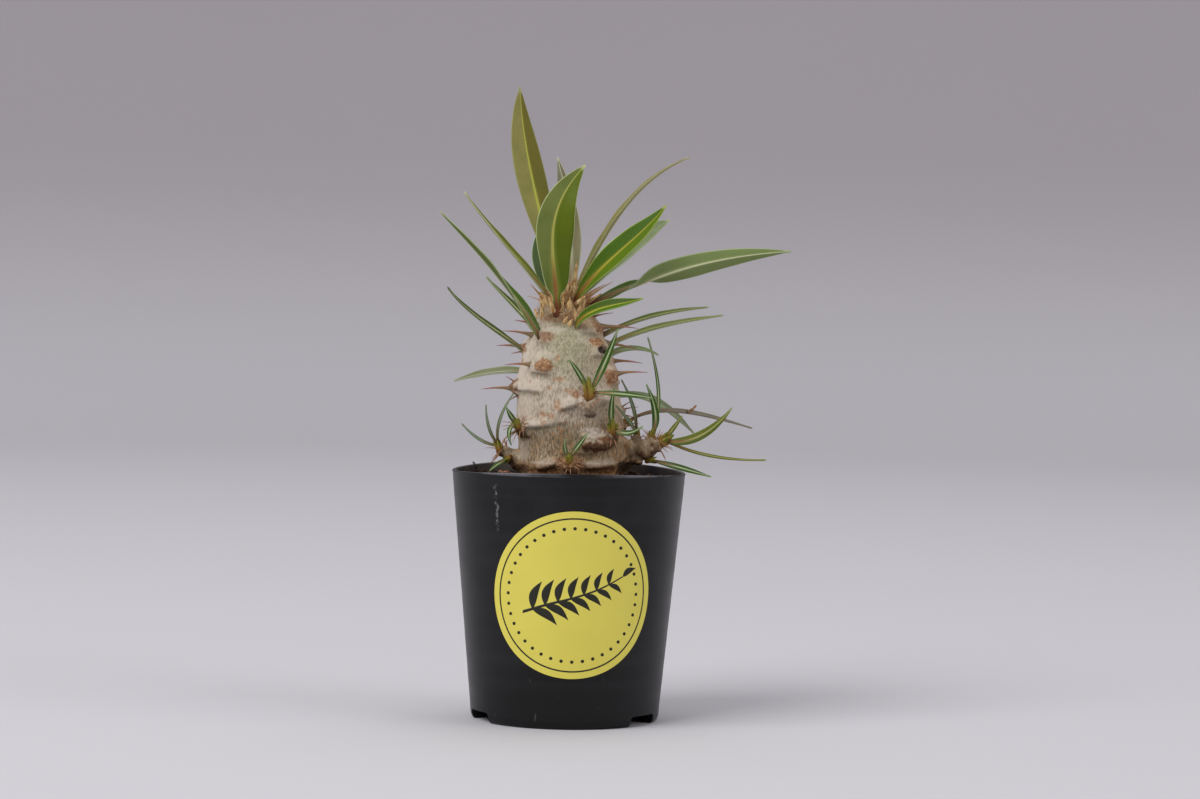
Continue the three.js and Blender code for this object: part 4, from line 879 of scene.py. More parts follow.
def turned(profile, sides):
    """A half section that starts and ends on the axis, turned round it."""
    rings = outward(np.arange(sides) * 360 / sides)[None] * profile[1:-1, 0, None, None]
    rings[..., 2] = profile[1:-1, 1, None]
    return skin(rings, (0, 0, profile[0, 1]), (0, 0, profile[-1, 1]))


def notch_cutter(azimuth):
    """The block that cuts one rounded slot through the foot of the wall."""
    half, top, corner = NOTCH["width"] / 2, NOTCH["height"], NOTCH["corner"]
    edge = [(half, -1.0)]
    for turn in (0, 90):
        for angle in np.radians(np.linspace(turn, turn + 90, 6)):
            side = half - corner if turn == 0 else corner - half
            edge.append((side + corner * math.cos(angle), top - corner + corner * math.sin(angle)))
    edge.append((-half, -1.0))
    out = outward(float(azimuth))
    across = np.cross(UP, out)
    start = out * (POT["foot_ring_inside"] - NOTCH["inset"])
    rings = np.array([
        [across * aside + UP * level + start + out * far for aside, level in edge]
        for far in (0, NOTCH["depth"])
    ])
    return skin(rings, rings[0].mean(0), rings[1].mean(0))


def pot_shape():
    """The moulded cup with its foot notches and drain holes cut."""
    top = round(bpy.context.scene.pot_looks.height / MM, 4)
    cup = turned(pot_profile(), POT_FINISH["sides"])
    x, y, z = cup.points.T
    # The rim is pulled a little out of round: high at front and back, low at the sides.
    lift = POT["saddle"] * np.cos(2 * np.arctan2(x, -y)) * (z / top) ** 3
    cup.points[:, 2] += np.where(z > top / 2, lift, 0)
    cutters = [notch_cutter(azimuth) for azimuth in NOTCH["azimuths"]]
    for i in range(DRAIN["count"]):
        foot = outward(i * 360.0 / DRAIN["count"]) * DRAIN["ring_radius"]
        cutters.append(tube([foot + UP * level for level in (2, 5, 8)], DRAIN["radius"], 32))
    tool = bpy.data.objects.new("cutter", mesh_of("cutter", joined(cutters)))
    bpy.context.scene.collection.objects.link(tool)
    made, _ = worked(cup, ("BOOLEAN", {"operation": "DIFFERENCE", "solver": "EXACT", "object": tool}))
    bpy.data.objects.remove(tool)
    pad = tube([(0, 0, 0), (0, 0, 2.4), (0, 0, 4.6)], POT["pad_radius"], 48)
    return joined([made, pad])


class MakePot(bpy.types.Operator):
    """Turn the black pot, cut its foot notches and drain holes and give it moulded plastic"""

    bl_idname = "pachypodium.make_pot"
    bl_label = "Pot"

    def execute(self, context):
        plastic = injection_moulded_polypropylene()
        piece("pot_shell", pot_shape(), plastic, "pot_plastic", "pot", sharp=POT_FINISH["sharp_edge"])
        foot = outward(STUB["azimuth"]) * STUB["reach"]
        path = [foot + UP * level + (lean, 0, 0) for level, lean in zip(STUB["levels"], STUB["leans"])]
        piece("pot_gate_stub", tube(path, STUB["radii"], STUB["sides"]), plastic, "pot_plastic")
        return {"FINISHED"}


def wall_point(across, above, off):
    """A point on the pot's wall, across and above the label's middle, and so far off the wall."""
    height = LABEL["height"] + np.asarray(above, float)
    radius = wall_radius(height)
    azimuth = LABEL["azimuth"] + np.degrees(np.asarray(across, float) / radius)
    points = outward(azimuth) * (radius + off)[..., None]
    points[..., 2] = height
    return points


def plate(across, above, low, high):
    """A thin closed patch on the wall over a grid of places, between two distances off it."""
    rows, columns = across.shape
    top = wall_point(across, above, high).reshape(-1, 3)
    bottom = wall_point(across, above, low).reshape(-1, 3)
    index = np.arange(rows * columns).reshape(rows, columns)
    faces = np.stack([index[:-1, :-1], index[:-1, 1:], index[1:, 1:], index[1:, :-1]], -1).reshape(-1, 4)
    border = np.concatenate([index[0, :-1], index[:-1, -1], index[-1, :0:-1], index[:0:-1, 0]])
    after = np.roll(border, -1)
    under = rows * columns
    sides = np.stack([after, border, border + under, after + under], 1)
    return Shape(np.vstack([top, bottom]), np.vstack([faces, faces[:, ::-1] + under, sides])).faced_out()


def disc(middle, radius, low, high, rings=2, sides=20):
    """A round patch on the wall."""
    angle = np.arange(sides) * TAU / sides
    reach = np.linspace(0, radius, rings + 1)[1:]
    edges = [(np.cos(angle) * r, np.sin(angle) * r) for r in reach]
    loops = [wall_point(middle[0] + a, middle[1] + b, np.full(sides, high)) for a, b in edges]
    loops += [wall_point(middle[0] + a, middle[1] + b, np.full(sides, low)) for a, b in reversed(edges)]
    ends = [wall_point(middle[0], middle[1], np.array(off)) for off in (high, low)]
    return skin(np.array(loops), *ends)


def band(radius, wide, low, high):
    """A ring on the wall, round the label's middle."""
    angle = np.linspace(0, TAU, 181)
    reach = radius + np.array([-wide / 2, wide / 2])[:, None]
    return plate(reach * np.cos(angle), reach * np.sin(angle), low, high)


def leaf_print(base, tip, wide, low, high):
    """A printed lance-shaped leaf from a base to a tip."""
    base, tip = np.array(base, float), np.array(tip, float)
    share = np.linspace(0.0, 1.0, 15)
    side = np.linspace(-1, 1, 5)[:, None]
    half = wide / 2 * np.maximum(np.sin(math.pi * share**0.8), 0.02)
    way = tip - base
    square = np.array([-way[1], way[0]]) / np.linalg.norm(way)
    bend = 0.12 * np.linalg.norm(way) * np.sin(math.pi * share)
    across = base[0] + way[0] * share + square[0] * (side * half + bend)
    above = base[1] + way[1] * share + square[1] * (side * half + bend)
    return plate(across, above, low, high)


def calendered_vinyl():
    """Yellow vinyl film rolled smooth: an even colour with a soft satin shine."""
    looks = bpy.context.scene.label_looks
    material, shader, add = surface("calendered_vinyl", Specular_IOR_Level=0.4)
    place = add("TexCoord", out="Object")
    cloud = add("TexNoise", Vector=place, Scale=per(20), Detail=2.0)
    fleck = add("TexNoise", Vector=place, Scale=per(0.8), Detail=2.0)
    colour = coated(add, tuple(looks.film), (add("MapRange:SMOOTHSTEP", cloud, 0.3, 0.75), 0.2, "#CFC24A"))
    roughness = add("Math:MULTIPLY_ADD", fleck, 0.12, 0.4)
    bump = add("Bump", Height=fleck, Strength=0.1, Distance=0.00002)
    feed(shader, {"Base Color": colour, "Roughness": roughness, "Normal": bump})
    return material


def screen_printed_ink():
    """Dark ink laid on by a screen: dull, a little uneven in how densely it covers."""
    looks = bpy.context.scene.label_looks
    material, shader, add = surface("screen_printed_ink", Specular_IOR_Level=0.3)
    fleck = add("TexNoise", Vector=add("TexCoord", out="Object"), Scale=per(0.5), Detail=3.0)
    colour = coated(add, tuple(looks.ink), (add("MapRange:SMOOTHSTEP", fleck, 0.5, 0.8), 0.25, "#45432F"))
    feed(shader, {"Base Color": colour, "Roughness": add("Math:MULTIPLY_ADD", fleck, 0.15, 0.5)})
    return material


def branch_print(low, high):
    """One branch across the label's middle, with pairs of leaves that shorten towards its tip."""
    share = np.linspace(0, 1, 40)
    line = spline(PRINT_STEM, share)[:, :2]
    wide = np.linspace(PRINT["stem_start"], PRINT["stem_end"], 40)
    edges = [line + (0, 1) * wide[:, None], line - (0, 1) * wide[:, None]]
    marks = [plate(*(np.array([edge[:, axis] for edge in edges]) for axis in (0, 1)), low, high)]
    for i in range(PRINT["pairs"]):
        place = PRINT["first_pair"] + PRINT["pair_step"] * i
        foot = spline(PRINT_STEM, np.array([place]))[0, :2]
        length = PRINT["leaf_length"] - PRINT["shorter"] * i
        for side in (1, -1):
            angle = math.radians(PRINT["heading"] + side * PRINT["leaf_angle"])
            tip = foot + length * np.array([math.cos(angle), math.sin(angle)])
            marks.append(leaf_print(foot, tip, PRINT["leaf_width"] - PRINT["narrower"] * i, low, high))
    marks.append(leaf_print(line[-1], line[-1] + PRINT["end_leaf"], PRINT["end_width"], low, high))
    return marks


class MakeLabel(bpy.types.Operator):
    """Bend the round sticker to the wall and print a plain leafy branch in a ring on it"""

    bl_idname = "pachypodium.make_label"
    bl_label = "Label"

    def execute(self, context):
        radius = context.scene.label_looks.radius / MM
        low, high = LABEL["gap"], LABEL["gap"] + LABEL["thickness"]
        film = disc((0, 0), radius, low, high, rings=24, sides=144)
        piece("sticker", film, calendered_vinyl(), "sticker", "label", sharp=60)
        ink_low, ink_high = high - PRINT["sunk"], high + PRINT["proud"]
        marks = [band(radius - PRINT["ring_inset"], PRINT["ring_width"], ink_low, ink_high)]
        for i in range(PRINT["dots"]):
            angle = i * TAU / PRINT["dots"]
            middle = (PRINT["dot_reach"] * math.cos(angle), PRINT["dot_reach"] * math.sin(angle))
            marks.append(disc(middle, PRINT["dot_radius"], ink_low, ink_high, sides=12))
        marks += branch_print(ink_low, ink_high)
        piece("sticker_print", joined(marks), screen_printed_ink(), "sticker")
        return {"FINISHED"}


def soil_level(x, y):
    """The height of the soil's surface, in low lumps."""
    waves = SOIL_WAVES
    square = np.sin(TAU * x / waves["x"] + waves["shift"]) * np.cos(TAU * y / waves["y"])
    slanting = np.sin(TAU * x / waves["slant_x"] - TAU * y / waves["slant_y"])
    return SOIL["level"] + SOIL["lump"] * (square + waves["slant"] * slanting)


def sifted_potting_mix(name, codes):
    """Baked clay, bark and pumice, sifted: dull grains, each of one tone with a dusty rough face."""
    material, shader, add = surface(name, Specular_IOR_Level=0.2, Roughness=0.95)
    tone = add("ValToRGB", add("Attribute:tone", out="Fac"), stops=codes)
    dust = add("TexNoise", Vector=add("TexCoord", out="Object"), Scale=per(0.6), Detail=4.0)
    colour = coated(add, tone, (add("MapRange:SMOOTHSTEP", dust, 0.35, 0.75), 0.5, "#2A201A"))
    feed(shader, {"Base Color": colour, "Normal": add("Bump", Height=dust, Strength=0.8, Distance=0.0003)})
    return material


class MakeSoil(bpy.types.Operator):
    """Fill the pot with soil and scatter loose grains on it"""

    bl_idname = "pachypodium.make_soil"
    bl_label = "Soil"

    def execute(self, context):
        looks = context.scene.soil_looks
        bottom = POT["plate_top"] + SOIL["gap"]
        edge = wall_radius(SOIL["level"] - SOIL["rim_drop"]) - POT["wall"] - SOIL["gap"]
        corner = bottom + POT["inner_corner"]
        outside = wall_radius(corner) - POT["wall"] - SOIL["gap"]
        profile = [(0, bottom), (outside - POT["inner_corner"], bottom), (outside, corner)]
        profile += [(edge * share, SOIL["level"]) for share in np.linspace(1, 0, 34)]
        body = turned(np.array(profile), 150)
        on_top = body.points[:, 2] > SOIL["level"] / 2
        top = body.points[on_top]
        rough = 0.45 * waver(top, 2.2) + 0.25 * waver(top, 0.9)
        body.points[on_top, 2] = soil_level(top[:, 0], top[:, 1]) + rough - 0.3
        body.values["tone"] = np.full(len(body.points), 0.15)
        mix = sifted_potting_mix("sifted_potting_mix", SOIL_TONES)
        piece("soil_body", body, mix, "potting_mix", "soil")
        draw = random.Random(GRAINS["seed"])
        points, triangles = ball(2)
        grains = []
        for i in range(looks.grains):
            radius = looks.grain / MM * draw.uniform(*GRAINS["size"])
            reach = math.sqrt(draw.uniform(GRAINS["from"] ** 2, (edge - radius) ** 2))
            azimuth = draw.uniform(0, 360)
            middle = outward(azimuth) * reach
            middle[2] = soil_level(middle[0], middle[1]) + radius * draw.uniform(*GRAINS["lift"])
            squash = np.array([draw.uniform(*GRAINS["squash"]) for _ in range(3)])
            lumps = 1 + GRAINS["lumps"] * waver(points, GRAINS["lump_size"], offset=i * 3.7)
            pinker = 0.5 if GRAINS["pink"][0] < azimuth < GRAINS["pink"][1] else 0
            tone = min(1.0, draw.random() ** 1.4 + pinker * (draw.random() > 0.7))
            grains.append(Shape(middle + points * squash * radius * lumps[:, None], (), triangles, tone=tone))
        piece("soil_grains", joined(grains), mix, "potting_mix")
        return {"FINISHED"}


def back_swellings():
    """The swellings behind, worked out along a climbing spiral."""
    spiral, found, height, i = BACK_SPIRAL, [], BACK_SPIRAL["start"], 0
    while height < spiral["end"]:
        azimuth = ((i * spiral["turn"]) % 360 + 540) % 360 - 180
        if abs(azimuth) >= spiral["keep_from"]:
            found.append((azimuth, height, spiral["rise"], spiral["half_width"], spiral["half_height"]))
        height += spiral["step"]
        i += 1
    return found


BACK_SWELLINGS = back_swellings()


def turn_from(azimuth, middle):
    """How far an azimuth is past another, from -180 to 180 degrees."""
    return ((azimuth - middle) % 360 + 540) % 360 - 180


def swelling_at(azimuth, height, radius):
    """How far the bark stands out from the outline."""
    rising = np.zeros(np.broadcast(azimuth, height).shape)
    for middle, level, most, half_width, half_height in (*SWELLINGS, *BACK_SWELLINGS):
        across = np.radians(turn_from(azimuth, middle)) * radius / half_width
        above = (height - level) / np.where(height > level, half_height, half_height * UNDERSIDE)
        rising += most * np.exp(-across * across - above * above)
    return rising


def outline_at(height):
    """The centre x and the radius of the trunk's outline at a height."""
    table = spline(TRUNK_OUTLINE, np.linspace(0, 1, 400))
    return np.interp(height, table[:, 2], table[:, 0]), np.interp(height, table[:, 2], table[:, 1])


def bark_point(azimuth, height, grow=0.0):
    """A point on the bark."""
    centre, radius = outline_at(height)
    reach = radius + swelling_at(np.array([azimuth]), np.array([height]), radius)[0] + grow
    return outward(float(azimuth)) * reach + (centre, 0, height)


def trunk_body():
    """The trunk itself as a closed shape."""
    centre, radius, height = spline(TRUNK_OUTLINE, np.linspace(0, 1, 171)).T[:, :, None]
    azimuth = np.arange(220) * 360 / 220
    reach = radius + swelling_at(azimuth[None], height, radius)
    rings = outward(azimuth)[None] * reach[..., None]
    rings[..., 0] += centre
    rings[..., 2] += height
    (foot_x, _, foot_level), (top_x, _, top_level) = TRUNK_OUTLINE[0], TRUNK_OUTLINE[-1]
    return skin(rings, (foot_x, 0, foot_level - 1), (top_x, 0, top_level + 0.4))


def shoot_shape(chain):
    """A woody side shoot, rounded at its head."""
    fine = spline(chain, np.linspace(0, 1, 8 * len(chain)))
    return tube(fine[:, :3], fine[:, 3], 24)


def knobs():
    """Small balls of cork round the scars of the spine pairs and along the shoots."""
    points, triangles = ball(2)
    rings = list(KNOB_RINGS)
    rings += [(azimuth, height - 0.4, 2.0, 1.0, 6) for azimuth, height, *_ in BACK_SWELLINGS]
    found = []
    for number, (azimuth, height, spread, radius, count) in enumerate(rings):
        for i in range(count):
            angle = i * TAU / count + number
            wide = spread * (0.75 + 0.25 * math.sin(i * 2.4 + number))
            _, round_trunk = outline_at(height)
            across = math.degrees(math.cos(angle) * wide / round_trunk)
            place = bark_point(azimuth + across, height + math.sin(angle) * wide * 0.8, 0.15)
            found.append(Shape(place + points * radius * (0.9 + 0.35 * math.sin(i * 1.9)), (), triangles))
    for x, y, z, radius, half_height in LUMPS:
        found.append(Shape(np.array((x, y, z)) + points * (radius, radius, half_height), (), triangles))
    draw = random.Random(3)
    for chain in SHOOTS:
        for _ in range(5 * len(chain)):
            share = draw.uniform(0.25, 1)
            x, y, z, radius = spline(chain, np.array([share]))[0]
            side = unit([draw.uniform(-1, 1) for _ in range(3)])
            place = np.array((x, y, z)) + side * radius * 0.85
            found.append(Shape(place + points * draw.uniform(0.22, 0.42) * radius, (), triangles))
    return found


def shoot_share(points):
    """How far each point belongs to a side shoot and not to the trunk, from 0 to 1."""
    found = np.zeros(len(points))
    for chain in SHOOTS:
        fine = spline(chain, np.linspace(0, 1, 6 * len(chain)))
        away = np.linalg.norm(points[:, None] - fine[None, :, :3], axis=2) - fine[None, :, 3]
        found = np.maximum(found, ease(1.8, 0.9, away.min(1)))
    return found


def bark_measures(points):
    """Azimuth, radius of the outline, height and how far a point lies beyond the bark's own surface."""
    x, y, z = points.T
    centre, radius = outline_at(z)
    azimuth = np.degrees(np.arctan2(x - centre, -y))
    beyond = np.hypot(x - centre, y) - radius - swelling_at(azimuth, z, radius)
    return azimuth, radius, z, beyond


def spots(places, azimuth, radius, height, column, ragged):
    """How strongly a list of places marks each point, by the number in one column."""
    found = np.zeros(len(azimuth))
    for place in places:
        across = np.radians(turn_from(azimuth, place[0])) * radius / place[2]
        above = (height - place[1]) / place[3]
        found = np.maximum(found, place[column] * ease(1.3, 0.75, np.hypot(across, above) + ragged))
    return found


def bark_shape():
    """The trunk and its shoots grown into one skin, then ridged, cracked and scarred."""
    grown = joined([trunk_body(), *(shoot_shape(chain) for chain in SHOOTS), *knobs()])
    voxel = bpy.context.scene.bark_looks.voxel
    made, normals = worked(
        grown,
        ("REMESH", {"mode": "VOXEL", "voxel_size": voxel, "use_smooth_shade": True}),
        ("SMOOTH", {"factor": 0.5, "iterations": 4}),
    )
    azimuth, radius, height, beyond = bark_measures(made.points)
    wide = waver(made.points, 7.0)
    fine = waver(made.points, 2.4, 5.1)
    # Cracks run up the trunk, about 1 mm apart and two or three long.
    cracks = waver(made.points, (0.8, 0.8, 1.7), 2.0)
    ragged = 0.5 * waver(made.points, 1.3, 9.0) + 0.15 * fine
    shift = 0.28 * wide + 0.1 * fine
    woody = ease(0.6, 1.8, beyond) * shoot_share(made.points)
    on_trunk = 1 - woody
    shelf = np.zeros(len(azimuth))
    under = np.zeros(len(azimuth))
    for start, end, level_start, level_end, most in SHELVES:
        share = (azimuth - start) / (end - start)
        ends = ease(0, 0.25, share) * ease(1, 0.75, share)
        level = level_start + (level_end - level_start) * share + 0.6 * wide
        above = height - level
        profile = np.where(above > 0, np.exp(-((above / 2.8) ** 2)), np.exp(-((above / 0.75) ** 2)))
        shelf = np.maximum(shelf, ends * profile * most)
        # Just below each shelf the material darkens the bark: partly algae and dirt, partly painted shade.
        under = np.maximum(under, ends * ease(0.5, -0.3, above) * ease(-3.2, -0.6, above))
    shift += 0.85 * shelf * on_trunk
    shift += 0.09 * cracks * ease(150, 138, height)
    shift += woody * (0.6 * waver(made.points, 2.3, 4.0) + 0.35 * ragged)
    knobbly = spots((KNOBBLY_PLACE,), azimuth, radius, height, 4, ragged)
    shift += knobbly * (0.3 + 0.9 * waver(made.points, 1.2, 7.0))
    shift -= HOLLOW_DEPTH * spots((HOLLOW,), azimuth, radius, height, 4, 0.0)
    made.points += normals * shift[:, None]
    rust = spots(SCARS, azimuth, radius, height, 4, ragged)
    dark = spots(SCARS, azimuth, radius, height, 5, ragged)
    back = [(a, h, 2.6, 2.2, 0.9, 0.35) for a, h, *_ in BACK_SWELLINGS]
    draw = random.Random(5)
    flecks = []
    for *ranges, strength, count in FLECKS:
        flecks += [(*(draw.uniform(*ends) for ends in ranges), strength, 0.0) for _ in range(count)]
    rust = np.maximum(rust, spots(back + flecks, azimuth, radius, height, 4, ragged))
    dark = np.maximum(dark, spots(back, azimuth, radius, height, 5, ragged))
    pale = spots(PALE_PLACES, azimuth, radius, height, 4, ragged)
    # The crests of the shelves are painted paler: a painted highlight where light falls on their tops.
    pale = np.maximum(pale, ease(0.3, 0.9, shelf) * (height > 90) * 0.5)
    low = ease(118, 92, height)
    # The left flank is paler: partly smoother pale cork, partly a painted highlight where the light from the
    # left falls.
    pale = np.maximum(pale, 0.6 * ease(-30, -75, azimuth) * ease(100, 112, height))
    green = ease(118, 132, height) * ease(60, 10, np.abs(turn_from(azimuth, 5))) * ease(152, 143, height)
    # The down-facing undersides of the shoots are dark red brown, partly their own colour and partly painted
    # shade, and their foot is darker than their head.
    beneath = woody * ease(0.1, -0.6, normals[:, 2] + 0.3 * fine) * ease(114, 108, height)
    pup = np.exp(-((np.radians(azimuth + 1) * radius / 5.0) ** 2) - ((height - 93.0) / 3.2) ** 2)
    # Painted shade darkens the bark under the lowest shelves, near the soil.
    dark = np.maximum(dark, 0.35 * under * ease(97, 92, height))
    # Rust gathers under the lowest shelves, round the shoot at the front and where the bark meets the soil.
    places = (0.7 * under * ease(98, 93, height), 0.5 * beneath, 0.9 * pup, 0.55 * ease(95.5, 91.5, height))
    # The bark is painted duller and darker in the hollow between the lower shelves at the front: painted shade.
    dusk = np.exp(-((np.radians(azimuth + 4) * radius / 13) ** 2) - ((height - 103.5) / 4.6) ** 2)
    made.values = {
        "rust": np.maximum.reduce([rust * (1 - 0.6 * woody), *places]),
        "dark": np.maximum(dark * (1 - 0.5 * woody), 0.75 * beneath),
        "dusk": dusk * on_trunk,
        "pale": pale,
        "low": low,
        "green": green * (1 - woody),
        "under": under * on_trunk,
        "woody": woody,
        "crack": ease(0.05, -0.45, cracks),
        "warm": ease(15, 65, azimuth) * ease(120, 75, azimuth) * on_trunk,
        "crown": ease(142.5, 147, height + 2.2 * fine),
        "wool": ease(149.5, 152.5, height + 1.5 * fine),
    }
    return made


def grown_cork_bark():
    """Cork that split and healed as the trunk swelled: dry and dull, pale beige, with short upright
    cracks of grey green, tan streaks low down, rust-brown scars at each spine pair and green skin
    showing through near the top."""
    looks = bpy.context.scene.bark_looks
    material, shader, add = surface("grown_cork_bark", Specular_IOR_Level=0.25)
    place = add("TexCoord", out="Object")
    at = {name: add("Attribute:" + name, out="Fac") for name in BARK_VALUES}
    low, dusk, pale = at["low"], at["dusk"], at["pale"]
    # Wavy upright mottles 0.5 mm wide and 1.7 mm long, and broader streaks behind them.
    upright = add("Mapping", Vector=place, Scale=(per(0.5), per(0.5), per(1.7)))
    mottle = add("TexNoise", Vector=upright, Scale=1.0, Detail=3.0, Roughness=0.6, Distortion=0.5)
    streak = add("TexNoise", Vector=upright, Scale=0.4, Detail=2.0, Distortion=0.6)
    cloud = add("TexNoise", Vector=place, Scale=per(6), Detail=3.0)
    dust = add("TexNoise", Vector=place, Scale=per(0.4), Detail=3.0)
    # The mottles are deepest low down and weakest on pale cork.
    depth = add("Math:MULTIPLY_ADD", add("Math:MAXIMUM", low, dusk), 0.4, 0.4)
    depth = add("Math:MULTIPLY", depth, add("Math:MULTIPLY_ADD", pale, -0.7, 1.0))
    # How strongly the pale flecks show: painted highlights on the fine relief, fainter in the hollow's painted
    # shade.
    painted_highlight_share = add("Math:MULTIPLY_ADD", dusk, -0.25, 0.45)
    streaked = add("Math:MULTIPLY_ADD", low, 0.6, 0.08)
    cracked = add("Math:MULTIPLY_ADD", low, 0.35, 0.25)
    rust = add("Math:MULTIPLY", at["rust"], add("Math:MULTIPLY_ADD", dust, 0.7, 0.35))
    # A scar is a cluster of small knobs of cork: their heads are paler and the gaps between them darker, partly
    # the cork's own colour and partly painted highlight and shade.
    knob = add("TexVoronoi", Vector=place, Scale=per(1.3), Randomness=0.9)
    between = add("Math:MULTIPLY", rust, add("MapRange:SMOOTHSTEP", knob, 0.42, 0.62))
    knob_highlights = add("Math:MULTIPLY", rust, add("MapRange:SMOOTHSTEP", knob, 0.12, 0.34, 1.0, 0.0))
    colour = coated(
        add, tuple(looks.cream),
        (at["green"], 1, tuple(looks.green)),
        (low, 0.75, "#A08052"),
        (add("MapRange:SMOOTHSTEP", cloud, 0.4, 0.75), 0.35, "#B7AC92"),
        # Painted shade in the hollow between the lower shelves at the front.
        (dusk, 0.7, "#786848"),
        (at["crown"], 0.8, "#8C6C42"),
        (add("MapRange:SMOOTHSTEP", mottle, 0.51, 0.57), depth, "#584A30"),
        # Pale flecks on the raised mottles: painted highlights.
        (add("MapRange:SMOOTHSTEP", mottle, 0.34, 0.42, 1.0, 0.0), painted_highlight_share, "#DCCDB6"),
        (at["warm"], 0.35, "#C09A6A"),
        (add("MapRange:SMOOTHSTEP", streak, 0.52, 0.68), streaked, "#B48450"),
        (at["crack"], cracked, "#5E5642"),
        (pale, 0.6, "#D6CBBB"),
        (at["woody"], 0.6, "#97846A"),
        # Grey brown under the shelves: partly algae and dirt, partly painted shade.
        (at["under"], 0.45, "#625B42"),
        (rust, 1, tuple(looks.rust)),
        (between, 0.65, "#7C4A26"),
        (knob_highlights, 0.75, "#DDBE9A"),
        (at["dark"], add("Math:MULTIPLY_ADD", mottle, 0.9, 0.5), "#2E1E14"),
        (at["wool"], 1, "#B08A54"),
    )
    roughness = add("Math:MULTIPLY_ADD", mottle, 0.3, 0.6)
    relief = add("Math:SUBTRACT", add("Math:MULTIPLY", dust, 0.4), mottle)
    relief = add("Math:SUBTRACT", relief, add("Math:MULTIPLY", rust, knob))
    bump = add("Bump", Height=relief, Strength=0.9, Distance=0.0005)
    feed(shader, {"Base Color": colour, "Roughness": roughness, "Normal": bump})
    return material


def spine_shape(root, way, length, thick, bend=0.05, young=0.0):
    """A tapering spine, thick at its foot and a little bent, with its share of length as a value."""
    share = np.linspace(0, 1, 14)
    side = unit(np.cross(way, UP + 0.01))
    places = root + way * (length + 2) * share[:, None] - way * 2
    places += np.cross(side, way) * (bend * length * np.sin(math.pi * share))[:, None]
    radii = thick * (0.6 * np.exp(-((share / 0.2) ** 2)) + 0.4 * (1 - share)) + 0.06
    ripple = 1 + 0.06 * np.sin(np.arange(12) * TAU / 12 * 3)[None]
    return tube(places, radii, 12, ripple, along=share, young=young)


def shoot_spines(number, chain):
    """Short spines round a shoot's head."""
    head, below = np.array(chain[-1][:3], float), np.array(chain[-2][:3], float)
    way = unit(head - below)
    across, other = frames_along(way[None])
    count = 18 if len(chain) > 2 else 8
    found = []
    for i in range(count):
        angle = math.radians(i * GOLDEN_TURN) + number
        side = across[0] * math.cos(angle) + other[0] * math.sin(angle)
        climb = math.radians(10 + 45 * ((i * 0.37) % 1))
        pointing = side * math.cos(climb) + way * math.sin(climb)
        root = head - way * (0.6 + 0.5 * (i % 4)) + side * chain[-1][3] * 0.7
        found.append(spine_shape(root, pointing, 3.4 + 2.6 * ((i * 0.61) % 1), 0.65, 0.12, young=0.45))
    return found


def grown_horn_spine():
    """Spines of dried horn: olive brown and dull at the foot, then a polished orange brown that
    darkens to red at the point. Young ones are still tan all along."""
    material, shader, add = surface("grown_horn_spine", Specular_IOR_Level=0.4)
    along, young = (add("Attribute:" + name, out="Fac") for name in ("along", "young"))
    fibre = add("TexNoise", Vector=add("TexCoord", out="Object"), Scale=per(0.5), Detail=3.0)
    stops = ((0.0, "#7E705C"), (0.3, "#8E7656"), (0.5, "#A87E56"), (0.78, "#A8665A"), (1.0, "#8A4A46"))
    colour = coated(
        add, add("ValToRGB", along, stops=stops),
        (young, 0.8, "#C69C68"),
        (add("MapRange:SMOOTHSTEP", fibre, 0.4, 0.7), 0.4, "#6E5238"),
    )
    roughness = add("Math:MULTIPLY_ADD", along, -0.3, 0.75)
    bump = add("Bump", Height=fibre, Strength=0.4, Distance=0.00015)
    feed(shader, {"Base Color": colour, "Roughness": roughness, "Normal": bump})
    return material


class MakeTrunk(bpy.types.Operator):
    """Grow the trunk with its side shoots and swellings into one corky skin"""

    bl_idname = "pachypodium.make_trunk"
    bl_label = "Trunk"

    def execute(self, context):
        piece("trunk_bark", bark_shape(), grown_cork_bark(), "bark", "trunk")
        return {"FINISHED"}


class MakeSpines(bpy.types.Operator):
    """Set the spine pairs in the swellings and the short spines round the shoots"""

    bl_idname = "pachypodium.make_spines"
    bl_label = "Spines"

    def execute(self, context):
        found = []
        rows = list(SPINES)
        for azimuth, height, *_ in BACK_SWELLINGS:
            for side in (-1, 1):
                root, heading = (azimuth + side * BACK_SPINE[turn] for turn in ("apart", "spread"))
                rows.append((root, height, heading, BACK_SPINE["climb"] * side, BACK_SPINE["length"]))
        for azimuth, height, heading, climb, length in rows:
            climb = math.radians(climb)
            way = outward(float(heading)) * math.cos(climb) + UP * math.sin(climb)
            thick = SPINE["stout"] if length > SPINE["stout_past"] else SPINE["slim"]
            young = 1.0 if height > SPINE["young_above"] else 0.0
            found.append(spine_shape(bark_point(azimuth, height), way, length, thick, young=young))
        for number, chain in enumerate(SHOOTS):
            found += shoot_spines(number, chain)
        for path, radius in WITHERED:
            share = np.linspace(0, 1, 16)
            radii = radius * (1 - 0.6 * share) * (1 + 0.25 * np.sin(share * 17))
            found.append(tube(spline(path, share), radii, 10, along=0.3 + 0.3 * share, young=0.0))
        piece("spines", joined(found), grown_horn_spine(), "bark")
        return {"FINISHED"}


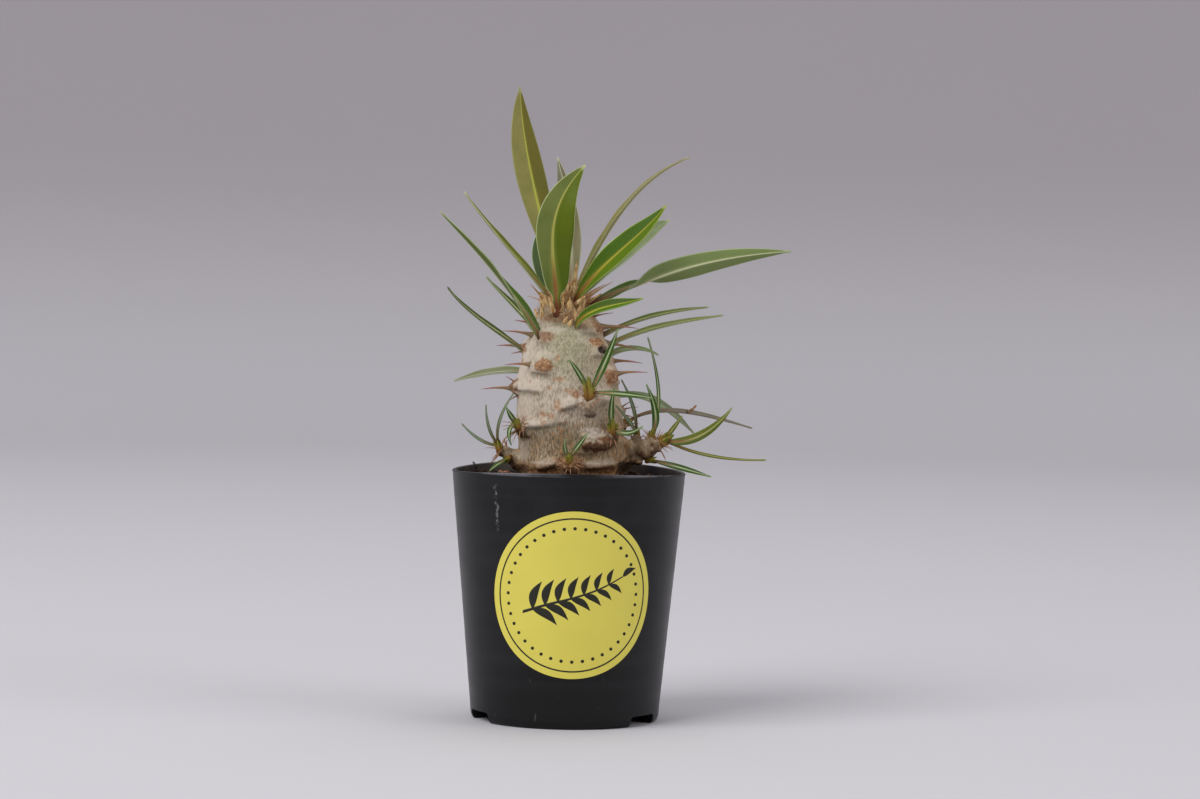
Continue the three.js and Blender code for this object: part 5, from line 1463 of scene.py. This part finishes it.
def felted_young_wool():
    """Young growth still wrapped in its felt: golden tan, fibrous along its length and dull, with
    browner, older wool at the foot."""
    material, shader, add = surface(
        "felted_young_wool", Specular_IOR_Level=0.2, Roughness=0.9, Sheen_Weight=0.25,
    )
    place = add("TexCoord", out="Object")
    fibres = add("Mapping", Vector=place, Scale=(per(0.4), per(0.4), per(3)))
    hair = add("TexNoise", Vector=fibres, Scale=1.0, Detail=3.0)
    clump = add("TexNoise", Vector=place, Scale=per(1.8), Detail=2.0)
    stops = ((0.0, "#7C6040"), (0.3, "#A07C4A"), (0.7, "#CDAA70"), (1.0, "#B98C54"))
    colour = coated(
        add, add("ValToRGB", add("Attribute:along", out="Fac"), stops=stops),
        (add("MapRange:SMOOTHSTEP", hair, 0.5, 0.62), 0.7, "#E8D2A2"),
        (add("MapRange:SMOOTHSTEP", hair, 0.34, 0.44, 1.0, 0.0), 0.6, "#74522E"),
        (add("MapRange:SMOOTHSTEP", clump, 0.52, 0.6), 0.6, "#A0642C"),
    )
    feed(shader, {"Base Color": colour, "Normal": add("Bump", Height=hair, Strength=0.8, Distance=0.0003)})
    return material


def cone_shape(base, tip, radius, number):
    """A ridged, pointed cone of wrapped young leaves."""
    base, tip = np.array(base, float), np.array(tip, float)
    share = np.linspace(0, 1, 22)
    middle = (base + tip) / 2 + 0.25 * radius * outward(number * 61.0)
    places, _ = bow((base, middle, tip), share)
    angle = np.arange(28) * TAU / 28
    ridges = 0.13 * np.sin(angle * 5 + number)[None] + 0.06 * np.sin(angle * 11 - number)[None]
    radii = radius * (1 - share) ** 0.75 * (1 + 0.1 * np.sin(share * 5 + number)) + 0.12
    return tube(places, radii, 28, 1 + ridges * (1 - 0.5 * share[:, None]), along=share)


def bract_shape(azimuth, height, length, wide, splay, sideways):
    """A papery scale that hugs the bark at its foot and leans out at its tip."""
    middle = bark_point(azimuth, height + length * 0.4, 0.45)
    way = unit(UP + outward(float(azimuth)) * splay + outward(azimuth + 90.0) * sideways)
    path = (bark_point(azimuth, height, -0.9), middle, middle + way * length * 0.6)
    facing = outward(float(azimuth))
    return leaf_shape(
        path, wide, facing, facing, skew=0.5, fullness=1.25, stalk=wide * 0.7, bare=0.0, edge=0.4, rib=0.9,
        fold=-0.55, tip_width=0.15, tip_length=0.7, stations=18, columns=5, wave=0.5,
    )


class MakeCrown(bpy.types.Operator):
    """Set the woolly cones, scales and loose hairs among the leaf bases"""

    bl_idname = "pachypodium.make_crown"
    bl_label = "Crown"

    def execute(self, context):
        found = [cone_shape(*cone, number) for number, cone in enumerate(CROWN_CONES)]
        draw = random.Random(7)
        # Papery scales crowd the crown in rows, shorter and flatter against the bark lower down.
        for count, level, length, splay in BRACT_ROWS:
            free = FREE_PLACE["high"] if level > FREE_PLACE["above"] else FREE_PLACE["low"]
            for i in range(count):
                azimuth = (i + draw.uniform(-BRACT["turn"], BRACT["turn"])) * 360 / count + level * 31
                wide, long = draw.uniform(*BRACT["width"]), length * draw.uniform(*BRACT["length"])
                place = level + draw.uniform(*BRACT["height"])
                sideways, out = draw.uniform(*BRACT["sideways"]), splay + draw.uniform(*BRACT["lean"])
                if abs(turn_from(azimuth, FREE_PLACE["azimuth"])) > free:
                    found.append(bract_shape(azimuth, place, long, wide, out, sideways))
        # A cup of scales holds the foot of the small leaf at the front.
        for azimuth, height, sideways in CUP:
            found.append(bract_shape(azimuth, height, sideways=sideways, **CUP_SCALE))
        # Each of the upper leaves stands between two stipules.
        for number, sizes in enumerate(LEAVES.values()):
            (place,), (way,) = bow(sizes["midrib"], np.array([STIPULE["place"]]))
            if place[2] < STIPULE["above"]:
                continue
            side = unit(np.cross(way, unit(sizes["base"])))
            for sign in (-1, 1):
                root = place + side * sign * STIPULE["aside"] - way * STIPULE["sunk"]
                tip = root + way * STIPULE["length"] + side * sign * STIPULE["spread"]
                found.append(cone_shape(root, tip, STIPULE["radius"], number + sign))
        wool = felted_young_wool()
        piece("crown_cones", joined(found), wool, "bark")
        hairs = []
        for _ in range(HAIRS["count"]):
            azimuth, height = draw.uniform(0, 360), draw.uniform(*HAIRS["heights"])
            root = bark_point(azimuth, height, -0.4)
            leaning = outward(azimuth + draw.uniform(-50, 50)) * draw.uniform(0.2, 1)
            tip = root + unit(leaning + UP * draw.uniform(0.2, 1.2)) * draw.uniform(*HAIRS["length"])
            path = [root, (root + tip) / 2 + outward(azimuth) * 0.2, tip]
            tone = np.array([0.3, 0.6, 1.0]) * draw.uniform(0.5, 1)
            hairs.append(tube(path, HAIRS["radii"], 4, along=tone))
        piece("crown_hairs", joined(hairs), wool, "bark")
        return {"FINISHED"}


def leaf_shape(midrib, width, base, tip, turn=1.0, skew=LEAF["skew"], lean=(0, 0),
               fullness=LEAF["fullness"], stalk=LEAF["petiole"], bare=0.03, shoulder=1.0, edge=LEAF["edge"],
               rib=LEAF["rib"], fold=LEAF["fold"], tip_width=LEAF["tip_width"],
               tip_length=LEAF["tip_length"], stations=56, columns=9, wave=0.12):
    """A lance-shaped blade, folded up a little along a midrib that is grooved above and raised below. It
    starts after a bare share of the length, and a low shoulder makes it broad there. Its values are the
    way across, the half width, the length so far and the midrib's half width in mm, the share of the
    length, the lower face, and 0 for what isn't a bud."""
    share = np.linspace(0, 1, stations + 1)
    places, ways = bow(midrib, share)
    length = np.linalg.norm(np.diff(places, axis=0), axis=1).sum()
    mix = ease(0, turn, share)[:, None]
    facing = unit(base) * (1 - mix) + unit(tip) * mix
    face = unit(facing - ways * (facing * ways).sum(1, keepdims=True))
    across = np.cross(ways, face)
    blade_share = np.clip((share - bare) / (1 - bare), 0, 1)
    blunt = shoulder + (1 - shoulder) * ease(0.05, 0.4, blade_share)
    lance = np.maximum(0, np.sin(math.pi * blade_share**skew)) ** (fullness * blunt) * width
    half = ((lance**6 + (stalk * (1 - share)) ** 6 + tip_width**6) ** (1 / 6) / 2)[:, None]
    t = np.linspace(-1, 1, 2 * columns + 1)
    u = (np.sign(t) * np.abs(t) ** 1.25)[None]
    half_here = half * (1 + (lean[0] + (lean[1] - lean[0]) * share[:, None]) * np.sign(u))
    side = u * half_here
    # The blade is thick where it leaves the crown and thin at its margin.
    share_column = share[:, None]
    stout = (stalk * 0.55 - edge) * np.exp(-((share_column * length / 4.5) ** 2))
    thick = edge * (0.92 - 0.45 * u**4) + stout * (1 - u**2)
    waves = np.sin(share_column * length * 0.42 + np.sign(u) * 1.1) * np.minimum(1, half / 3)
    lift = half * fold * np.abs(u) ** 1.3 + wave * np.abs(u) ** 3 * waves
    # The midrib is stout at the base: its half width falls from about a tenth of the blade's width.
    rib_half = 0.13 + 0.25 * width**0.6 * (1 - share_column) ** 1.5
    groove = 0.1 * np.exp(-((side / rib_half) ** 2)) * ease(0, 0.1, share_column)
    keel = (rib - edge) * (1 - share_column) * np.exp(-((side / (rib_half + 0.2)) ** 2))
    top = lift + thick / 2 - groove
    bottom = lift - thick / 2 - keel
    rise_round = np.concatenate([top, bottom[:, ::-1]], 1)
    side_round = np.concatenate([side, side[:, ::-1]], 1)
    rings = places[:, None] + across[:, None] * side_round[..., None] + face[:, None] * rise_round[..., None]
    lower = np.concatenate([np.zeros_like(top), np.ones_like(bottom)], 1)
    end = places[-1] + ways[-1] * tip_length + face[-1] * half[-1] * fold * 0.5
    half_round = np.concatenate([half_here, half_here[:, ::-1]], 1)
    return skin(
        rings, places[0], end, side=side_round, half=half_round, along=share, far=share * length,
        lower=lower, rib=np.minimum(rib_half, half * 0.45), bud=0.0,
    )


def waxed_leaf(name, tones, base_length=0.16):
    """A leaf blade under its own wax: satin, two-toned where its halves catch the light, with a pale
    midrib and margin, fine side veins, and a red-brown stalk."""
    looks = bpy.context.scene.leaf_looks
    left, right, lower_face, on_midrib, on_margin = (linear(code) for code in tones)
    material, shader, add = surface(name, Specular_IOR_Level=0.14)
    place = add("TexCoord", out="Object")
    names = ("side", "half", "along", "far", "lower", "rib", "bud")
    side, half, along, far, lower, rib_half, bud = (add("Attribute:" + n, out="Fac") for n in names)
    away = add("Math:ABSOLUTE", side)
    # Side veins leave the midrib at a wide angle and are a little irregular.
    drift = add("TexNoise", Vector=place, Scale=per(4), Detail=1.0)
    phase = add("Math:ADD", add("Math:MULTIPLY_ADD", away, -0.55, far), add("Math:MULTIPLY", drift, 1.6))
    vein = add("Math:SINE", add("Math:MULTIPLY", phase, TAU / (looks.vein_spacing / MM)))
    speck = add("TexNoise", Vector=place, Scale=per(0.7), Detail=3.0)
    cloud = add("TexNoise", Vector=place, Scale=per(9), Detail=2.0)
    # The midrib blends into a faint yellow band at its sides.
    core, band_edge = (add("Math:MULTIPLY", rib_half, width) for width in (0.6, 2.6))
    rib = add("MapRange:SMOOTHSTEP", away, core, rib_half, 1.0, 0.0)
    glow = add("MapRange:SMOOTHSTEP", away, rib_half, band_edge, 1.0, 0.0)
    wide = add("Math:MINIMUM", add("Math:MULTIPLY", half, 0.12), 0.34)
    margin = add("Math:SUBTRACT", half, away)
    margin = add("MapRange:SMOOTHSTEP", margin, add("Math:MULTIPLY", wide, 0.3), wide, 1.0, 0.0)
    # Red brown climbs from the stalk into the midrib.
    stalk = add("MapRange:SMOOTHSTEP", along, base_length * 0.25, base_length * 0.8, 1.0, 0.0)
    reddened = add("MapRange:SMOOTHSTEP", along, base_length, base_length * 2.6, 1.0, 0.0)
    # A bud's own value runs from 1 at its foot to 2 at its tip, and is 0 on a blade.
    bud_stops = ((0.0, "#5E3A20"), (0.35, "#8E6A30"), (0.7, "#8C8236"), (1.0, "#66742A"))
    on_bud = add("ValToRGB", add("Math:SUBTRACT", bud, 1.0), stops=bud_stops)
    # The halves above differ only by painted sheen and shade.
    colour = add("Mix:RGBA", add("MapRange:SMOOTHSTEP", side, -0.25, 0.25), left, right)
    colour = coated(
        add, colour,
        (add("MapRange:SMOOTHSTEP", cloud, 0.4, 0.7), 0.22, "#44551A"),
        # The blade is deeper green towards its base.
        (add("MapRange:SMOOTHSTEP", along, 0.08, 0.42, 1.0, 0.0), 0.5, "#3A5604"),
        (lower, 1, lower_face),
        (add("MapRange:SMOOTHSTEP", vein, 0.2, 1.0), 0.06, "#A2AE70"),
        (add("MapRange:SMOOTHSTEP", speck, 0.5, 0.75), 0.14, "#2C4010"),
        (glow, 0.18, on_midrib),
        (rib, 0.92, on_midrib),
        (margin, 0.8, on_margin),
        (add("MapRange:SMOOTHSTEP", along, 0.965, 0.995), 0.8, on_margin),
        (add("Math:MULTIPLY", rib, reddened), 0.85, "#86502E"),
        (stalk, 0.85, tuple(looks.petiole)),
        (add("MapRange:SMOOTHSTEP", bud, 0.4, 0.6), 1, on_bud),
    )
    roughness = add("Math:MULTIPLY_ADD", speck, 0.14, 0.4)
    relief = add("Math:ADD", add("Math:MULTIPLY", vein, -0.1), add("Math:MULTIPLY", speck, 0.5))
    bump = add("Bump", Height=relief, Strength=0.3, Distance=0.0001)
    feed(shader, {"Base Color": colour, "Roughness": roughness, "Normal": bump})
    return material


class MakeLeaves(bpy.types.Operator):
    """Grow the leaves of the crown, each as a piece of its own"""

    bl_idname = "pachypodium.make_leaves"
    bl_label = "Crown leaves"

    def execute(self, context):
        stations = context.scene.leaf_looks.stations
        for name, sizes in LEAVES.items():
            material = waxed_leaf("waxed_" + name, LEAF_TONES[name])
            piece("grown_" + name, leaf_shape(stations=stations, **sizes), material, "leaf", name)
        return {"FINISHED"}


def bud_shape(foot, way, length, radius, number):
    """A bud of wrapped leaves, with the values that a leaf has. Its own value runs from 1 to 2."""
    share = np.linspace(0, 1, 16)
    places = foot + way * (length + TUFT["root"]) * share[:, None] - way * TUFT["root"]
    angle = np.arange(20) * TAU / 20
    ridges = 1 + 0.14 * np.sin(angle * 3 + number + share[:, None] * 2)
    radii = radius * (1 - share**1.4) ** 0.8 + 0.1
    return tube(
        places, radii, 20, ridges, side=0.0, half=2.0, along=0.5, far=0.0, lower=0.0, rib=0.1, bud=1 + share,
    )


def tuft_buds(foot, way, length, radius, number):
    """A bud with pointed bracts round it."""
    across, other = frames_along(way[None])
    found = [bud_shape(foot, way, length, radius, number)]
    for i in range(6):
        angle = math.radians(i * GOLDEN_TURN) + number
        side = across[0] * math.cos(angle) + other[0] * math.sin(angle)
        lean = unit(way + side * (0.18 + 0.05 * (i % 3)))
        root = foot + side * radius * 0.65
        found.append(bud_shape(root, lean, length * (0.55 + 0.13 * (i % 4)), radius * 0.5, number + i))
    return found


class MakeTufts(bpy.types.Operator):
    """Grow the buds and narrow leaves of the side shoots"""

    bl_idname = "pachypodium.make_tufts"
    bl_label = "Tufts"

    def execute(self, context):
        for number, (name, sizes) in enumerate(TUFTS.items()):
            foot, bud = np.array(sizes["head"], float), np.array(sizes["bud"], float)
            way = unit(bud - foot)
            found = tuft_buds(foot, way, np.linalg.norm(bud - foot), sizes["radius"], number)
            for i, (path, width) in enumerate(sizes["blades"]):
                start = foot + way * (TUFT["first_blade"] + i * TUFT["blade_step"])
                start = start + unit(np.array(path[0], float) - start) * TUFT["blade_step"]
                found.append(leaf_shape((start, *path), width, **BLADE))
            tones = TUFT_TONES.get(name, COMMON_TUFT_TONES)
            piece("grown_" + name, joined(found), waxed_leaf("waxed_" + name, tones, 0.2), "leaf", name)
        return {"FINISHED"}


def graduated_painted_board():
    """Board that is pale on the floor and greyer up the wall, the grey being painted shade for the light falling
    off: matt and even, so that it takes soft shadows.
    """
    looks = bpy.context.scene.stage_looks
    material, shader, add = surface("graduated_painted_board", Roughness=0.9, Specular_IOR_Level=0.1)
    place = add("TexCoord", out="Object")
    height = add("SeparateXYZ", place, out="Z")
    cloud = add("TexNoise", Vector=place, Scale=per(350), Detail=2.0)
    # The wall greys upward as painted shade for the light falling off.
    falloff_shade = add("Math:MULTIPLY", add("MapRange:SMOOTHSTEP", height, *STAGE["shade_heights"]), 0.94)
    falloff_shade = add("Math:ADD", falloff_shade, add("Math:MULTIPLY", cloud, 0.06))
    colour = add("Mix:RGBA", falloff_shade, tuple(looks.board), tuple(looks.far_board))
    feed(shader, {"Base Color": colour})
    return material


def area_light(name, place, target, size, power):
    """A square soft light that looks at a target, all in metres."""
    data = bpy.data.lights.new(name, "AREA")
    data.shape = "SQUARE"
    data.size = size
    data.energy = power
    light = bpy.data.objects.new(name, data)
    bpy.context.scene.collection.objects.link(light)
    light.location = place
    light.rotation_euler = (Vector(target) - Vector(place)).to_track_quat("-Z", "Y").to_euler()


# The photograph's camera: where it stood in mm, how it looked down and leaned, its lens and sensor in mm,
# and the distances in metres between which it sees.
CAMERA = {"place": (10.8, -1272.5, 172.5), "pitch": 2.521, "roll": 1.103, "lens": 105.0, "sensor": 36.0,
          "sees": (0.05, 20)}
# The stage in metres: the dish's flat radius and its curve, the heights between which the board turns grey
# with painted shade, and what the lights look at. Then each light's place and size, and the glow of the room.
STAGE = {"flat": 1.7, "sweep": 1.5, "sides": 96, "shade_heights": (0.02, 0.29), "target": (0, 0, 0.12)}
LIGHTS = {"key": ((-1.6, -1.4, 2.1), 1.8), "fill": ((2.2, -0.9, 1.3), 1.5), "top": ((0.2, 0.7, 2.6), 1.8)}
ROOM = {"colour": "#E4E2EA", "strength": 0.39}


class MakeStage(bpy.types.Operator):
    """Set up the pale floor that curves up all round, the soft lights and the camera"""

    bl_idname = "pachypodium.make_stage"
    bl_label = "Stage"

    def execute(self, context):
        looks = context.scene.stage_looks
        # A dish of board: flat out to the flat radius, then curving up to an upright rim.
        flat, sweep, sides = STAGE["flat"] / MM, STAGE["sweep"] / MM, STAGE["sides"]
        turn = np.linspace(0.06, math.pi / 2, 24)
        reach = np.concatenate([np.linspace(200, flat, 10), flat + sweep * np.sin(turn)])
        rings = outward(np.arange(sides) * 360 / sides)[None] * reach[:, None, None]
        rings[..., 2] = np.concatenate([np.zeros(10), sweep * (1 - np.cos(turn))])[:, None]
        count = len(rings)
        index = np.arange(count * sides).reshape(count, sides)
        after = np.roll(index, -1, 1)
        quads = np.stack([index[:-1], index[1:], after[1:], after[:-1]], -1).reshape(-1, 4)
        triangles = np.stack([np.full(sides, count * sides), index[0], after[0]], 1)
        dish = Shape(np.vstack([rings.reshape(-1, 3), (0, 0, 0)]), quads, triangles)
        floor = bpy.data.objects.new("floor", mesh_of("floor", dish))
        context.scene.collection.objects.link(floor)
        floor.data.materials.append(graduated_painted_board())
        for name, (place, size) in LIGHTS.items():
            area_light(name, place, STAGE["target"], size, getattr(looks, name + "_power"))
        world = bpy.data.worlds.new("studio")
        context.scene.world = world
        world.use_nodes = True
        feed(world.node_tree.nodes["Background"], {0: linear(ROOM["colour"]), 1: ROOM["strength"]})
        context.scene.view_settings.view_transform = "Standard"
        data = bpy.data.cameras.new("camera")
        data.lens, data.sensor_width, data.sensor_fit = CAMERA["lens"], CAMERA["sensor"], "HORIZONTAL"
        data.clip_start, data.clip_end = CAMERA["sees"]
        camera = bpy.data.objects.new("camera", data)
        context.scene.collection.objects.link(camera)
        pitch, roll = math.radians(CAMERA["pitch"]), math.radians(CAMERA["roll"])
        forward = np.array([0, math.cos(pitch), -math.sin(pitch)])
        right = np.array([1.0, 0, 0])
        above = np.cross(right, forward)
        leaned_right = right * math.cos(roll) + above * math.sin(roll)
        leaned_above = above * math.cos(roll) - right * math.sin(roll)
        matrix = Matrix(np.column_stack([leaned_right, leaned_above, -forward]).tolist()).to_4x4()
        matrix.translation = Vector(CAMERA["place"]) * MM
        camera.matrix_world = matrix
        context.scene.camera = camera
        return {"FINISHED"}


OPERATORS = (MakePot, MakeLabel, MakeSoil, MakeTrunk, MakeSpines, MakeCrown, MakeLeaves, MakeTufts, MakeStage)


class PachypodiumPanel(bpy.types.Panel):
    """Lists the operators that build the plant, in order"""

    bl_idname = "VIEW3D_PT_pachypodium"
    bl_label = "Potted pachypodium"
    bl_space_type = "VIEW_3D"
    bl_region_type = "UI"
    bl_category = "Pachypodium"

    def draw(self, context):
        for operator in OPERATORS:
            self.layout.operator(operator.bl_idname)


def register():
    for group in LOOKS.values():
        bpy.utils.register_class(group)
    for name, group in LOOKS.items():
        setattr(bpy.types.Scene, name, PointerProperty(type=group))
    for entry in (*OPERATORS, PachypodiumPanel):
        bpy.utils.register_class(entry)


def unregister():
    for entry in reversed((*OPERATORS, PachypodiumPanel)):
        bpy.utils.unregister_class(entry)
    for name, group in LOOKS.items():
        delattr(bpy.types.Scene, name)
        bpy.utils.unregister_class(group)


def main():
    register()
    bpy.ops.pachypodium.make_pot()
    bpy.ops.pachypodium.make_label()
    bpy.ops.pachypodium.make_soil()
    bpy.ops.pachypodium.make_trunk()
    bpy.ops.pachypodium.make_spines()
    bpy.ops.pachypodium.make_crown()
    bpy.ops.pachypodium.make_leaves()
    bpy.ops.pachypodium.make_tufts()
    bpy.ops.pachypodium.make_stage()


if __name__ == "__main__":
    main()
